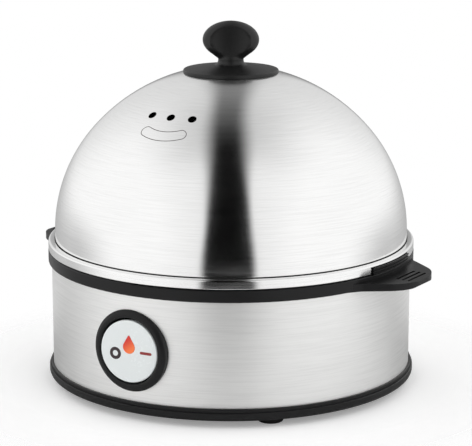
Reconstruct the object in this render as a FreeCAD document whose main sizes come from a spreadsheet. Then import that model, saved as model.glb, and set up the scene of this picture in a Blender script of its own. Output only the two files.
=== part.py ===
# Egg cooker for seven eggs: steel drum on a plastic pan, egg tray, domed steel lid, tipping switch.
# Millimetres. +Z is up, the switch faces -Y, the lugs point along X, the origin is under the middle.
import FreeCAD
import Part
import math
import os
import re
import Sketcher

V = FreeCAD.Vector

# Driving dimensions: name, number, meaning
DIMENSIONS = [
    ("drum_radius", 80, "outside of the steel sleeve"),
    ("drum_height", 45.7, "steel seen between pan and ring"),
    ("sleeve_wall", 0.6, "sheet of the sleeve"),
    ("pan_tuck", 2.0, "sleeve hidden in the pan's groove"),
    ("ring_tuck", 0.8, "sleeve hidden in the ring's groove"),
    ("seat_gap", 0.1, "clearance of pieces fitted together"),
    ("lift_gap", 0.3, "clearance of pieces that lift or turn"),
    ("overlap", 1, "run of joined or cutting shapes into each other"),
    ("foot_height", 3, "rubber seen under the pan"),
    ("foot_radius", 5.5, "foot pad"),
    ("foot_round", 0.8, "foot's lower edge"),
    ("foot_inset", 8, "foot centre in from the drum"),
    ("foot_count", 4, "feet round the pan"),
    ("foot_angle", 45, "feet off the lug axis"),
    ("stem_radius", 2.9, "foot's stem in the pan"),
    ("stem_head", 3.7, "foot's barb above the floor"),
    ("barb_height", 1.8, "foot's barb above the floor"),
    ("pan_overhang", 1.8, "pan's rim beyond the drum"),
    ("pan_rim_height", 5.2, "pan's rim, feet to steel"),
    ("pan_round", 1.4, "pan's lower edge"),
    ("lip_overhang", 1.1, "pan's upper lip beyond the drum"),
    ("lip_height", 1.5, "pan's upper lip"),
    ("lip_round", 0.4, "edges of the lip"),
    ("pan_floor", 2, "pan's floor"),
    ("pan_wall", 2, "pan's inner wall"),
    ("boss_rise", 0.8, "bosses and inner wall above the rim"),
    ("boss_radius", 5, "screw boss of the pan"),
    ("vent_width", 3, "vent slot"),
    ("vent_round", 1.4, "vent slot's ends"),
    ("vent_start", 16, "vent slot's inner end"),
    ("vent_length", 15, "vent slot"),
    ("vent_count", 12, "vent slots round the floor"),
    ("screw_inset", 6, "base screws in from the drum"),
    ("screw_angle", 20, "base screws off the lug axis"),
    ("screw_radius", 1.45, "base screw's shank"),
    ("screw_head_radius", 2.9, "base screw's head"),
    ("screw_head", 2.2, "base screw's head"),
    ("screw_length", 11, "base screw's shank"),
    ("screw_sink", 0.3, "head below the pan's underside"),
    ("pilot_room", 1, "left beyond a strap screw's end"),
    ("pillar_radius", 4, "pillar under the ring"),
    ("ring_overhang", 1.5, "upper ring beyond the drum"),
    ("ring_height", 5.5, "upper ring"),
    ("ring_round", 0.7, "ring's outer edges"),
    ("ring_inset", 9, "ring's opening in from the drum"),
    ("skirt_height", 4, "ring's skirt inside the sleeve"),
    ("skirt_wall", 2, "ring's skirt"),
    ("lug_reach", 16, "lug's tip beyond the drum"),
    ("lug_tip_width", 25, "lug at its tip, before it is rounded"),
    ("lug_root_width", 49, "lug at the ring"),
    ("lug_foot_width", 61, "lug with its blends, on the ring"),
    ("lug_hold", 4, "lug's root out from the ring's opening"),
    ("lug_drop", 2.2, "lug's top below the ring's top"),
    ("lug_slope", 0.5, "lug's top falls towards the tip"),
    ("lug_root_height", 3.3, "lug at the ring"),
    ("lug_tip_height", 2.8, "lug at its tip"),
    ("lug_corner", 16, "lug's rounded nose"),
    ("lug_blend", 9, "lug's hollow blends to the ring"),
    ("lug_edge", 0.7, "lug's rounded tip edge"),
    ("grip_width", 1.1, "grip groove"),
    ("grip_length", 16.7, "grip groove"),
    ("grip_depth", 0.5, "grip groove"),
    ("grip_pitch", 2.6, "grip grooves apart"),
    ("grip_count", 3, "grip grooves"),
    ("grip_inset", 2.6, "outer grip groove in from the tip"),
    ("flange_inset", 4.8, "bowl's flange in from the drum"),
    ("flange_drop", 0.2, "bowl's flange below the ring's top"),
    ("seal_height", 1, "bowl seal"),
    ("seal_width", 3.6, "bowl seal"),
    ("bowl_inset", 14, "bowl's rim in from the drum"),
    ("bowl_depth", 13.2, "water dish"),
    ("bowl_taper", 2, "bowl narrows to its floor"),
    ("bowl_bend", 7, "bowl's floor to wall"),
    ("bowl_lip", 1.2, "bowl's wall to flange"),
    ("bowl_wall", 1, "sheet of the bowl"),
    ("stud_radius", 2.4, "stud welded under the bowl"),
    ("stud_length", 18, "stud welded under the bowl"),
    ("plate_radius", 47, "heater plate"),
    ("plate_height", 2.6, "heater plate"),
    ("plate_hole", 5, "heater plate round the stud"),
    ("heater_ring", 40, "heater tube's ring"),
    ("heater_tube", 3.3, "heater tube"),
    ("heater_sink", 1.4, "heater tube sunk in the plate"),
    ("heater_gap", 18, "half angle left open at the back"),
    ("heater_bend", 7, "heater's elbow"),
    ("heater_leg", 4, "heater's upright end"),
    ("collar_radius", 2.6, "heater terminal's ceramic"),
    ("collar_height", 3, "heater terminal's ceramic"),
    ("pin_radius", 1.2, "heater terminal's pin"),
    ("pin_length", 6, "heater terminal's pin"),
    ("thermo_offset", 22, "thermostat behind the stud"),
    ("thermo_cap", 8, "thermostat's metal cap"),
    ("thermo_cap_height", 2.4, "thermostat's metal cap"),
    ("thermo_body", 7, "thermostat's ceramic"),
    ("thermo_height", 8, "thermostat's ceramic"),
    ("thermo_pitch", 8, "thermostat's blades apart"),
    ("blade_width", 6, "push-on blade"),
    ("blade_thick", 0.8, "push-on blade"),
    ("blade_length", 6, "push-on blade"),
    ("bracket_length", 36, "thermostat bracket"),
    ("bracket_width", 17, "thermostat bracket"),
    ("sheet", 1, "sheet of bracket and saddle"),
    ("bracket_pitch", 26, "bracket screws apart"),
    ("tiny_radius", 1.25, "small screw's shank"),
    ("tiny_head_radius", 2.4, "small screw's head"),
    ("tiny_head", 1.8, "small screw's head"),
    ("fuse_offset", 22, "thermal fuse before the stud"),
    ("fuse_radius", 2, "thermal fuse"),
    ("fuse_length", 12, "thermal fuse"),
    ("saddle_width", 5, "fuse saddle"),
    ("saddle_pitch", 13, "saddle screws apart"),
    ("saddle_ear", 3, "saddle beyond its screws"),
    ("strap_inset", 6.5, "strap screws in from the drum"),
    ("strap_boss", 6, "strap boss under the ring"),
    ("strap_boss_radius", 3.4, "strap boss under the ring"),
    ("strap_width", 14, "clamp strap"),
    ("strap_sheet", 1.2, "clamp strap"),
    ("strap_drop", 1.5, "strap below the heater tube"),
    ("strap_ear", 4, "strap's ear beyond its screws"),
    ("strap_bend", 2, "strap's bends"),
    ("nut_radius", 4.6, "nut across corners, half"),
    ("nut_height", 4, "nut on the stud"),
    ("button_drop", 1, "switch below the drum's middle"),
    ("bezel_radius", 17.7, "switch bezel"),
    ("bezel_proud", 1.7, "bezel's crest before the drum"),
    ("bezel_edge", 0.6, "bezel's outer edge before the drum"),
    ("bezel_bore", 14.2, "bezel round the rocker"),
    ("bezel_depth", 4.4, "bezel's flange before it is hollowed"),
    ("bezel_bore_round", 0.9, "bezel's edge at the rocker"),
    ("bezel_crest_round", 2, "bezel's crest"),
    ("bezel_edge_round", 0.8, "bezel's outer edge"),
    ("barrel_radius", 15.4, "bezel's barrel through the sleeve"),
    ("barrel_depth", 11, "bezel's barrel behind the drum"),
    ("rocker_radius", 13.45, "rocker cap"),
    ("rocker_proud", 1.9, "rocker's face before the drum"),
    ("rocker_thick", 2.4, "rocker cap"),
    ("rocker_round", 0.5, "rocker's front edge"),
    ("rocker_tilt", 5, "rocker tipped to either side"),
    ("pivot_depth", 2.5, "pivot behind the drum's face"),
    ("pivot_radius", 1, "pivot pin"),
    ("ear_start", 7.5, "rocker's ears off the middle"),
    ("ear_height", 3.5, "rocker's ears"),
    ("ear_radius", 2.6, "rocker's ears round the pivot"),
    ("ear_round", 2.5, "rocker's ears round the pivot"),
    ("ear_sink", 0.4, "rocker's ears in the cap"),
    ("tail_width", 3, "rocker's tail"),
    ("tail_length", 6.2, "rocker's tail behind the pivot"),
    ("drop_radius", 2.75, "drop lens's round end"),
    ("drop_length", 4.6, "drop lens, round end to tip"),
    ("drop_rise", 1.9, "round end's middle above the rocker's"),
    ("drop_tip", 0.4, "drop lens's tip"),
    ("lens_proud", 0.15, "lens before the rocker"),
    ("lamp_radius", 1.8, "indicator lamp"),
    ("lamp_length", 6, "indicator lamp"),
    ("lamp_round", 1.6, "indicator lamp's tip"),
    ("module_flange", 1.2, "switch module's flange"),
    ("module_width", 20, "switch module"),
    ("module_height", 18, "switch module"),
    ("module_depth", 15, "switch module"),
    ("module_pitch", 10, "switch module's blades apart"),
    ("block_offset", 52, "terminal block behind the middle"),
    ("block_depth", 12, "terminal block"),
    ("block_height", 11, "terminal block"),
    ("block_margin", 6, "terminal block beside its poles"),
    ("pole_height", 5.2, "terminal block's poles above the floor"),
    ("well_radius", 2, "terminal block's screw wells"),
    ("wire_radius", 1.1, "lead wire"),
    ("wire_bend", 3, "lead wire's bends"),
    ("wire_run", 8, "lead wire's way from a blade to its turn"),
    ("wire_drop", 6, "lead wires below the heater's pins"),
    ("gland_height", 11.5, "cord gland above the pan's rim"),
    ("gland_flange", 8, "gland's outer flange"),
    ("gland_proud", 3.1, "gland beyond the drum"),
    ("gland_neck", 5, "gland in the sleeve"),
    ("gland_inner", 6.5, "gland's inner flange"),
    ("gland_grip", 2.2, "gland's inner flange"),
    ("gland_bore", 3.3, "gland's bore"),
    ("gland_round", 1.2, "gland's outer edge"),
    ("tray_plate", 1.8, "egg tray's plate"),
    ("tray_wall", 1.6, "egg tray's rim wall"),
    ("egg_ring", 46.5, "outer egg holes' ring"),
    ("egg_hole", 17, "egg hole"),
    ("egg_collar", 1.6, "collar round an egg hole"),
    ("egg_collar_rise", 3, "collar above the plate"),
    ("inner_vent", 3.5, "steam hole near the middle"),
    ("inner_vent_ring", 27, "steam holes near the middle"),
    ("outer_vent", 4, "steam hole near the rim"),
    ("outer_vent_ring", 61, "steam holes near the rim"),
    ("tab_width", 32, "tray's tab"),
    ("tab_proud", 1, "tab before the lid's band"),
    ("tab_height", 2.9, "tray's tab"),
    ("tab_groove", 0.45, "tab's ribs"),
    ("band_overhang", 1.4, "lid's rim band beyond the drum"),
    ("band_height", 4.3, "lid's rim band"),
    ("band_round", 0.9, "band's upper edge"),
    ("ledge_round", 0.9, "ledge to dome"),
    ("lid_wall", 0.7, "sheet of the lid"),
    ("dome_inset", 1.65, "dome in from the drum"),
    ("dome_skirt", 3.3, "dome's straight foot"),
    ("dome_rise", 73, "dome above its foot"),
    ("shoulder_angle", 40, "dome's shoulder arc"),
    ("steam_ring", 48.2, "lid's steam holes from the axis"),
    ("steam_radius", 1.9, "lid's steam holes"),
    ("steam_step", 12, "lid's steam holes apart"),
    ("knob_flange", 21, "knob's flange"),
    ("knob_flange_edge", 1.6, "knob's flange at its edge"),
    ("knob_flange_root", 0.9, "knob's flange at the neck, above the dome"),
    ("knob_edge_round", 0.7, "knob's flange at its edge"),
    ("knob_neck", 5.6, "knob's neck"),
    ("neck_height", 3.4, "knob's neck above the dome"),
    ("neck_blend", 2.2, "neck to flange"),
    ("neck_top", 4.5, "neck's upper end, inside the head"),
    ("neck_end", 6.2, "neck's upper end below the head's middle"),
    ("knob_turn", 30, "knob's dishes turned from the switch"),
    ("head_width", 24.8, "knob's head across its dishes"),
    ("head_depth", 15, "knob's head, dish to dish"),
    ("head_height", 16.6, "knob's head"),
    ("knob_height", 20, "knob above the dome"),
    ("dish_width", 37, "thumb dish cutter across"),
    ("dish_height", 33, "thumb dish cutter, upright"),
    ("dish_depth", 24, "thumb dish cutter into the head"),
    ("dish_web", 7.6, "head left between the dishes"),
    ("insert_radius", 3, "brass insert"),
    ("insert_length", 7, "brass insert"),
    ("bolt_radius", 1.95, "knob screw"),
    ("bolt_length", 6.5, "knob screw above the dome"),
    ("bolt_head_radius", 3.6, "knob screw's head"),
    ("bolt_head", 2.4, "knob screw's head"),
    ("washer_radius", 6, "knob washer"),
    ("washer_height", 1, "knob washer"),
]

# Heights and radii that follow from the driving dimensions
DERIVED = {
    "sleeve_inner": "drum_radius - sleeve_wall",
    "tuck_radius": "sleeve_inner - seat_gap",
    "pan_radius": "drum_radius + pan_overhang",
    "lip_radius": "drum_radius + lip_overhang",
    "pan_rim_top": "foot_height + pan_rim_height",
    "floor_top": "foot_height + pan_floor",
    "boss_top": "pan_rim_top + boss_rise",
    "foot_ring": "drum_radius - foot_inset",
    "screw_ring": "drum_radius - screw_inset",
    "head_seat": "foot_height + screw_sink + screw_head",
    "ring_bottom": "pan_rim_top + drum_height",
    "ring_top": "ring_bottom + ring_height",
    "ring_radius": "drum_radius + ring_overhang",
    "ring_opening": "drum_radius - ring_inset",
    "lug_tip": "drum_radius + lug_reach",
    "lug_top": "ring_top - lug_drop",
    "flange_radius": "drum_radius - flange_inset",
    "flange_top": "ring_top - flange_drop",
    "shoulder": "flange_top - bowl_wall - seal_height",
    "bowl_radius": "drum_radius - bowl_inset",
    "bowl_floor": "flange_top - bowl_depth",
    "bowl_under": "bowl_floor - bowl_wall",
    "plate_under": "bowl_under - plate_height",
    "leg_x": "heater_ring * sin(heater_gap) - heater_bend * cos(heater_gap)",
    "leg_y": "heater_ring * cos(heater_gap) + heater_bend * sin(heater_gap)",
    "heater_level": "plate_under - heater_tube + heater_sink",
    "leg_end": "heater_level - heater_bend - heater_leg",
    "terminal_end": "leg_end - collar_height - pin_length",
    "thermo_under": "bowl_under - thermo_cap_height - thermo_height - 2 * seat_gap",
    "blade_end": "thermo_under - blade_length",
    "strap_ring": "drum_radius - strap_inset",
    "strap_top": "heater_level - heater_tube - strap_drop",
    "strap_under": "strap_top - strap_sheet",
    "strap_seat": "ring_bottom - strap_boss",
    "strap_leg": "strap_ring - strap_ear",
    "button_height": "pan_rim_top + drum_height / 2 - button_drop",
    "module_end": "barrel_depth + module_flange + module_depth",
    "switch_end": "module_end + blade_length",
    "block_front": "block_offset - block_depth / 2",
    "pole_level": "floor_top + pole_height",
    "fuse_level": "plate_under - fuse_radius - seat_gap",
    "gland_level": "pan_rim_top + gland_height",
    "band_radius": "drum_radius + band_overhang",
    "band_inner": "band_radius - lid_wall",
    "lid_bottom": "ring_top + lift_gap",
    "ledge_top": "ring_top + band_height",
    "ledge_under": "ledge_top - lid_wall",
    "dome_radius": "drum_radius - dome_inset",
    "dome_inner": "dome_radius - lid_wall",
    "dome_foot": "ledge_top + dome_skirt",
    "dome_top": "dome_foot + dome_rise",
    "arc_sine": "sin(shoulder_angle)",
    "arc_cosine": "cos(shoulder_angle)",
    "arc_share": "1 - arc_cosine - arc_sine",
    "shoulder_arc": "(dome_radius * (1 - arc_sine) - dome_rise * arc_cosine) / arc_share",
    "crown_arc": "(dome_rise * (1 - arc_cosine) - dome_radius * arc_sine) / arc_share",
    "crown_middle": "dome_top - crown_arc",
    "tray_bottom": "ring_top + lift_gap / 2",
    "tray_top": "tray_bottom + tray_plate",
    "tray_radius": "band_inner - 2 * lift_gap",
    "tray_wall_top": "ledge_under - lift_gap",
    "tab_radius": "band_radius + tab_proud",
    "tab_top": "tray_bottom + tab_height",
    "flange_edge_top": "crown_middle + sqrt((crown_arc)^2 - knob_flange^2) + knob_flange_edge",
    "head_middle": "dome_top + knob_height - head_height / 2",
    "insert_top": "dome_top + seat_gap + insert_length",
    "washer_top": "dome_top - lid_wall - (crown_arc - sqrt(crown_arc^2 - washer_radius^2)) - seat_gap",
}

doc = FreeCAD.newDocument("egg_cooker")
dims = doc.addObject("Spreadsheet::Sheet", "Dims")
for row, (name, number, meaning) in enumerate(DIMENSIONS, start=1):
    dims.set(f"A{row}", name)
    dims.set(f"B{row}", str(number))
    dims.set(f"C{row}", meaning)
    dims.setAlias(f"B{row}", name)
doc.recompute()
CELLS = {name for name, number, meaning in DIMENSIONS}


def full(text):
    """The expression with every name written as a cell of the sheet."""

    def cell(match):
        name = match.group(0)
        if name in DERIVED:
            return "(" + full(DERIVED[name]) + ")"
        return "Dims." + name if name in CELLS else name

    return re.sub(r"[a-z_]+", cell, text)


def size(text):
    """The expression's value now."""
    return float(dims.evalExpression(full(text)))


def bind(item, **sizes):
    """Tie properties of an object to expressions."""
    for name, text in sizes.items():
        item.setExpression(name.replace("__", "."), full(text))
    return item


def new_body(label):
    body = doc.addObject("PartDesign::Body", label)
    body.Label = label
    body.AllowCompound = True
    return body


def new_sketch(body, plane, lift="0"):
    """A sketch on one of the body's own origin planes, raised along that plane's normal."""
    sketch = body.newObject("Sketcher::SketchObject", body.Label + "_sketch")
    support = [item for item in body.Origin.OriginFeatures if item.Role == plane]
    sketch.AttachmentSupport = [(support[0], "")]
    sketch.MapMode = "FlatFace"
    bind(sketch, AttachmentOffset__Base__z=lift)
    return sketch


def pin_point(sketch, geometry, vertex, x, y):
    """Hold one vertex at two bound coordinates."""
    for kind, axis, text in (("DistanceX", -2, x), ("DistanceY", -1, y)):
        if text == "0":
            sketch.addConstraint(Sketcher.Constraint("PointOnObject", geometry, vertex, axis))
        else:
            held = Sketcher.Constraint(kind, -1, 1, geometry, vertex, size(text))
            bind(sketch, **{f"Constraints[{sketch.addConstraint(held)}]": text})


def pin_radius(sketch, geometry, text):
    index = sketch.addConstraint(Sketcher.Constraint("Radius", geometry, size(text)))
    bind(sketch, **{f"Constraints[{index}]": text})


def near_end(sketch, geometry, point):
    """Which end of an arc lies at the point: 1 its start, 2 its end."""
    return 1 if sketch.getPoint(geometry, 1).distanceToPoint(point) < 1e-6 else 2


def draw_loop(sketch, corners):
    """A closed outline of lines. A corner is x, y and, where it is rounded, its radius."""
    points = [V(size(corner[0]), size(corner[1]), 0) for corner in corners]
    spans = []
    for i, corner in enumerate(corners):
        here = points[i]
        if len(corner) == 2:
            spans.append((here, here, here))
            continue
        back = (points[i - 1] - here).normalize()
        ahead = (points[(i + 1) % len(points)] - here).normalize()
        half = back.getAngle(ahead) / 2
        radius = size(corner[2])
        middle = here + (back + ahead).normalize() * (radius / math.sin(half))
        crest = middle + (here - middle).normalize() * radius
        reach = radius / math.tan(half)
        spans.append((here + back * reach, crest, here + ahead * reach))
    lines = []
    for i in range(len(corners)):
        following = spans[(i + 1) % len(corners)]
        lines.append(sketch.addGeometry(Part.LineSegment(spans[i][2], following[0])))
    for i, corner in enumerate(corners):
        before, after = lines[i - 1], lines[i]
        if len(corner) == 2:
            sketch.addConstraint(Sketcher.Constraint("Coincident", before, 2, after, 1))
            pin_point(sketch, after, 1, corner[0], corner[1])
            continue
        arc = sketch.addGeometry(Part.Arc(*spans[i]))
        start = near_end(sketch, arc, spans[i][0])
        apex = sketch.addGeometry(Part.Point(points[i]), True)
        sketch.addConstraint(Sketcher.Constraint("PointOnObject", apex, 1, before))
        sketch.addConstraint(Sketcher.Constraint("PointOnObject", apex, 1, after))
        sketch.addConstraint(Sketcher.Constraint("Tangent", before, 2, arc, start))
        sketch.addConstraint(Sketcher.Constraint("Tangent", after, 1, arc, 3 - start))
        pin_point(sketch, apex, 1, corner[0], corner[1])
        pin_radius(sketch, arc, corner[2])


def draw_circles(sketch, circles):
    """Circles given as x, y and radius."""
    for x, y, radius in circles:
        shape = Part.Circle(V(size(x), size(y), 0), V(0, 0, 1), size(radius))
        circle = sketch.addGeometry(shape)
        pin_point(sketch, circle, 3, x, y)
        pin_radius(sketch, circle, radius)


def loop_sketch(body, plane, corners, lift="0"):
    sketch = new_sketch(body, plane, lift)
    draw_loop(sketch, corners)
    return sketch


def circle_sketch(body, circles, lift="0", plane="XY_Plane"):
    sketch = new_sketch(body, plane, lift)
    draw_circles(sketch, circles)
    return sketch


def revolve(body, sketch, kind="Revolution"):
    """A full turn of the sketch about its own upright axis."""
    feature = body.newObject("PartDesign::" + kind, body.Label + "_turned")
    feature.Profile = sketch
    feature.ReferenceAxis = (sketch, ["V_Axis"])
    feature.Angle = 360
    return feature


def extrude(body, sketch, length, kind="Pad", both=False, flip=False):
    """A pad or a pocket. A pocket runs against the sketch's normal unless it is flipped."""
    feature = body.newObject("PartDesign::" + kind, body.Label + "_" + kind.lower())
    feature.Profile = sketch
    feature.SideType = "Symmetric" if both else "One side"
    feature.Reversed = flip
    bind(feature, Length=length)
    return feature


def around(body, feature, count):
    """Copies of a feature evenly round the upright axis."""
    pattern = body.newObject("PartDesign::PolarPattern", body.Label + "_round")
    pattern.Originals = [feature]
    axis = [item for item in body.Origin.OriginFeatures if item.Role == "Z_Axis"]
    pattern.Axis = (axis[0], [""])
    pattern.Angle = 360
    bind(pattern, Occurrences=count)
    body.Tip = pattern
    return pattern


def turned(label, corners):
    """A body turned about the upright axis from one half section."""
    body = new_body(label)
    revolve(body, loop_sketch(body, "XZ_Plane", corners))
    return body


def primitive(kind, label, **sizes):
    return bind(doc.addObject("Part::" + kind, label), **sizes)


def ellipsoid(label, along_x, along_y, along_z):
    """An ellipsoid given by its full widths."""
    halves = {"Radius1": along_z, "Radius2": along_x, "Radius3": along_y}
    return primitive("Ellipsoid", label, **{name: f"{text} / 2" for name, text in halves.items()})


def boolean(kind, label, base, *tools):
    """A cut, fuse or common of finished objects."""
    if len(tools) == 1:
        tool = tools[0]
    else:
        tool = doc.addObject("Part::MultiFuse", label + "_tools")
        tool.Shapes = list(tools)
    item = doc.addObject("Part::" + kind, label)
    item.Base = base
    item.Tool = tool
    item.Label = label
    return item


def place(item, x="0", y="0", z="0", yaw="0", pitch="0", roll="0"):
    bind(
        item,
        Placement__Base__x=x,
        Placement__Base__y=y,
        Placement__Base__z=z,
        Placement__Rotation__Yaw=yaw,
        Placement__Rotation__Pitch=pitch,
        Placement__Rotation__Roll=roll,
    )
    return item


def on_front(item, out="0", yaw="0"):
    """Turn an item to face -Y, with its own Z out of the drum at the switch's middle."""
    return place(item, y=f"-drum_radius - {out}", z="button_height", yaw=yaw, roll="90")


def four_screws():
    """The four base screws' middles, to either side of the lug axis."""
    along = "screw_ring * cos(screw_angle)"
    across = "screw_ring * sin(screw_angle)"
    return [(f"{a}({along})", f"{b}({across})") for a in ("", "-") for b in ("", "-")]


def tube_shape(points, radius, bend):
    """A round wire along straight runs joined by tangent arcs."""
    edges = []
    start = points[0]
    for before, here, after in zip(points, points[1:], points[2:]):
        back = (before - here).normalize()
        ahead = (after - here).normalize()
        half = back.getAngle(ahead) / 2
        reach = bend / math.tan(half)
        middle = here + (back + ahead).normalize() * (bend / math.sin(half))
        crest = middle + (here - middle).normalize() * bend
        edges.append(Part.LineSegment(start, here + back * reach).toShape())
        edges.append(Part.Arc(here + back * reach, crest, here + ahead * reach).toShape())
        start = here + ahead * reach
    edges.append(Part.LineSegment(start, points[-1]).toShape())
    path = Part.Wire(edges)
    section = Part.Wire(Part.Circle(points[0], points[1] - points[0], radius).toShape())
    return path.makePipeShell([section], True, True)


def base_pan():
    """Moulded pan: outer rim with its lip, groove for the sleeve, floor, bosses and vents."""
    body = turned(
        "base_pan",
        [
            ("0", "foot_height"),
            ("pan_radius", "foot_height", "pan_round"),
            ("pan_radius", "pan_rim_top - lip_height", "lip_round"),
            ("lip_radius", "pan_rim_top - lip_height"),
            ("lip_radius", "pan_rim_top", "lip_round"),
            ("drum_radius + seat_gap", "pan_rim_top"),
            ("drum_radius + seat_gap", "pan_rim_top - pan_tuck - seat_gap"),
            ("tuck_radius", "pan_rim_top - pan_tuck - seat_gap"),
            ("tuck_radius", "boss_top"),
            ("tuck_radius - pan_wall", "boss_top"),
            ("tuck_radius - pan_wall", "floor_top"),
            ("0", "floor_top"),
        ],
    )
    bosses = [(x, y, "boss_radius") for x, y in four_screws()]
    mid_floor = "foot_height + pan_floor / 2"
    extrude(body, circle_sketch(body, bosses, mid_floor), f"boss_top - ({mid_floor})")
    heads = [(x, y, "screw_head_radius + lift_gap") for x, y in four_screws()]
    extrude(body, circle_sketch(body, heads, "head_seat"), "head_seat", "Pocket")
    shanks = [(x, y, "screw_radius + lift_gap") for x, y in four_screws()]
    extrude(body, circle_sketch(body, shanks, "boss_top"), "boss_top", "Pocket")
    along, across = "(foot_ring) * cos(foot_angle)", "(foot_ring) * sin(foot_angle)"
    spots = [(f"{a}{along}", f"{b}{across}") for a in ("", "-") for b in ("", "-")]
    stems = [(x, y, "stem_radius + seat_gap") for x, y in spots]
    extrude(body, circle_sketch(body, stems, "floor_top"), "floor_top", "Pocket")
    slot = [
        ("vent_start", "-vent_width / 2", "vent_round"),
        ("vent_start + vent_length", "-vent_width / 2", "vent_round"),
        ("vent_start + vent_length", "vent_width / 2", "vent_round"),
        ("vent_start", "vent_width / 2", "vent_round"),
    ]
    vent = extrude(body, loop_sketch(body, "XY_Plane", slot, "floor_top"), "pan_floor", "Pocket")
    around(body, vent, "vent_count")
    return body


def rubber_feet():
    """Four push-in feet: pad under the pan, stem through the floor, barb above it."""
    body = new_body("rubber_feet")
    sketch = new_sketch(body, "XZ_Plane")
    middle = "foot_ring"
    draw_loop(
        sketch,
        [
            (middle, "0"),
            (f"{middle} + foot_radius", "0", "foot_round"),
            (f"{middle} + foot_radius", "foot_height"),
            (f"{middle} + stem_radius", "foot_height"),
            (f"{middle} + stem_radius", "floor_top"),
            (f"{middle} + stem_head", "floor_top"),
            (f"{middle} + stem_radius", "floor_top + barb_height"),
            (middle, "floor_top + barb_height"),
        ],
    )
    foot = body.newObject("PartDesign::Revolution", "rubber_feet_turned")
    foot.Profile = sketch
    line = sketch.addGeometry(Part.LineSegment(V(size(middle), 0, 0), V(size(middle), 1, 0)), True)
    sketch.addConstraint(Sketcher.Constraint("Vertical", line))
    pin_point(sketch, line, 1, middle, "0")
    foot.ReferenceAxis = (sketch, ["Axis0"])
    foot.Angle = 360
    around(body, foot, "foot_count")
    place(body, yaw="foot_angle")
    return body


def base_screws():
    """Four screws from below, through the pan into the ring's pillars."""
    body = new_body("base_screws")
    heads = [(x, y, "screw_head_radius") for x, y in four_screws()]
    extrude(body, circle_sketch(body, heads, "head_seat - screw_head"), "screw_head")
    shanks = [(x, y, "screw_radius") for x, y in four_screws()]
    shank = "screw_length + screw_head / 2"
    extrude(body, circle_sketch(body, shanks, "head_seat - screw_head / 2"), shank)
    return body


def steel_sleeve():
    """The drum: a sheet cylinder with round holes for the switch and the cord."""
    body = turned(
        "steel_sleeve",
        [
            ("sleeve_inner", "pan_rim_top - pan_tuck"),
            ("drum_radius", "pan_rim_top - pan_tuck"),
            ("drum_radius", "ring_bottom + ring_tuck"),
            ("sleeve_inner", "ring_bottom + ring_tuck"),
        ],
    )
    switch = circle_sketch(body, [("0", "button_height", "barrel_radius + seat_gap")], plane="XZ_Plane")
    extrude(body, switch, "drum_radius * 2", "Pocket", flip=True)
    cord = circle_sketch(body, [("0", "gland_level", "gland_neck + seat_gap")], plane="XZ_Plane")
    extrude(body, cord, "drum_radius * 2", "Pocket")
    return body


def grip_lug():
    """One lug along +X: its plan outline, met by its wedge-shaped side outline with grip grooves."""
    plan = new_body("lug_plan")
    root = "ring_radius * cos(asin(lug_root_width / 2 / ring_radius))"
    tail = "ring_radius * cos(asin(lug_foot_width / 2 / ring_radius))"
    corners = [
        (f"{tail} - overlap", "-lug_foot_width / 2"),
        (f"{root} + overlap", "-lug_root_width / 2", "lug_blend"),
        ("lug_tip", "-lug_tip_width / 2", "lug_corner"),
        ("lug_tip", "lug_tip_width / 2", "lug_corner"),
        (f"{root} + overlap", "lug_root_width / 2", "lug_blend"),
        (f"{tail} - overlap", "lug_foot_width / 2"),
    ]
    extrude(plan, loop_sketch(plan, "XY_Plane", corners, "ring_bottom"), "ring_height")
    side = new_body("lug_side")
    corners = [
        ("ring_opening + lug_hold", "lug_top - lug_root_height"),
        ("ring_radius", "lug_top - lug_root_height"),
        ("lug_tip", "lug_top - lug_slope - lug_tip_height", "lug_edge"),
        ("lug_tip", "lug_top - lug_slope", "lug_edge"),
        ("ring_radius", "lug_top"),
        ("ring_opening + lug_hold", "lug_top"),
    ]
    extrude(side, loop_sketch(side, "XZ_Plane", corners), "lug_root_width * 2", both=True)
    outer = "lug_tip - grip_inset"
    notch = [
        (f"{outer} - grip_width", "lug_top - lug_slope - grip_depth"),
        (outer, "lug_top - lug_slope - grip_depth"),
        (outer, "lug_top + overlap"),
        (f"{outer} - grip_width", "lug_top + overlap"),
    ]
    groove = extrude(side, loop_sketch(side, "XZ_Plane", notch), "grip_length", "Pocket", both=True)
    row = side.newObject("PartDesign::LinearPattern", "lug_grooves")
    row.Originals = [groove]
    row.Direction = ([item for item in side.Origin.OriginFeatures if item.Role == "X_Axis"][0], [""])
    row.Reversed = True
    bind(row, Length="grip_pitch * (grip_count - 1)", Occurrences="grip_count")
    side.Tip = row
    return boolean("Common", "lug_right", plan, side)


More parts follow.
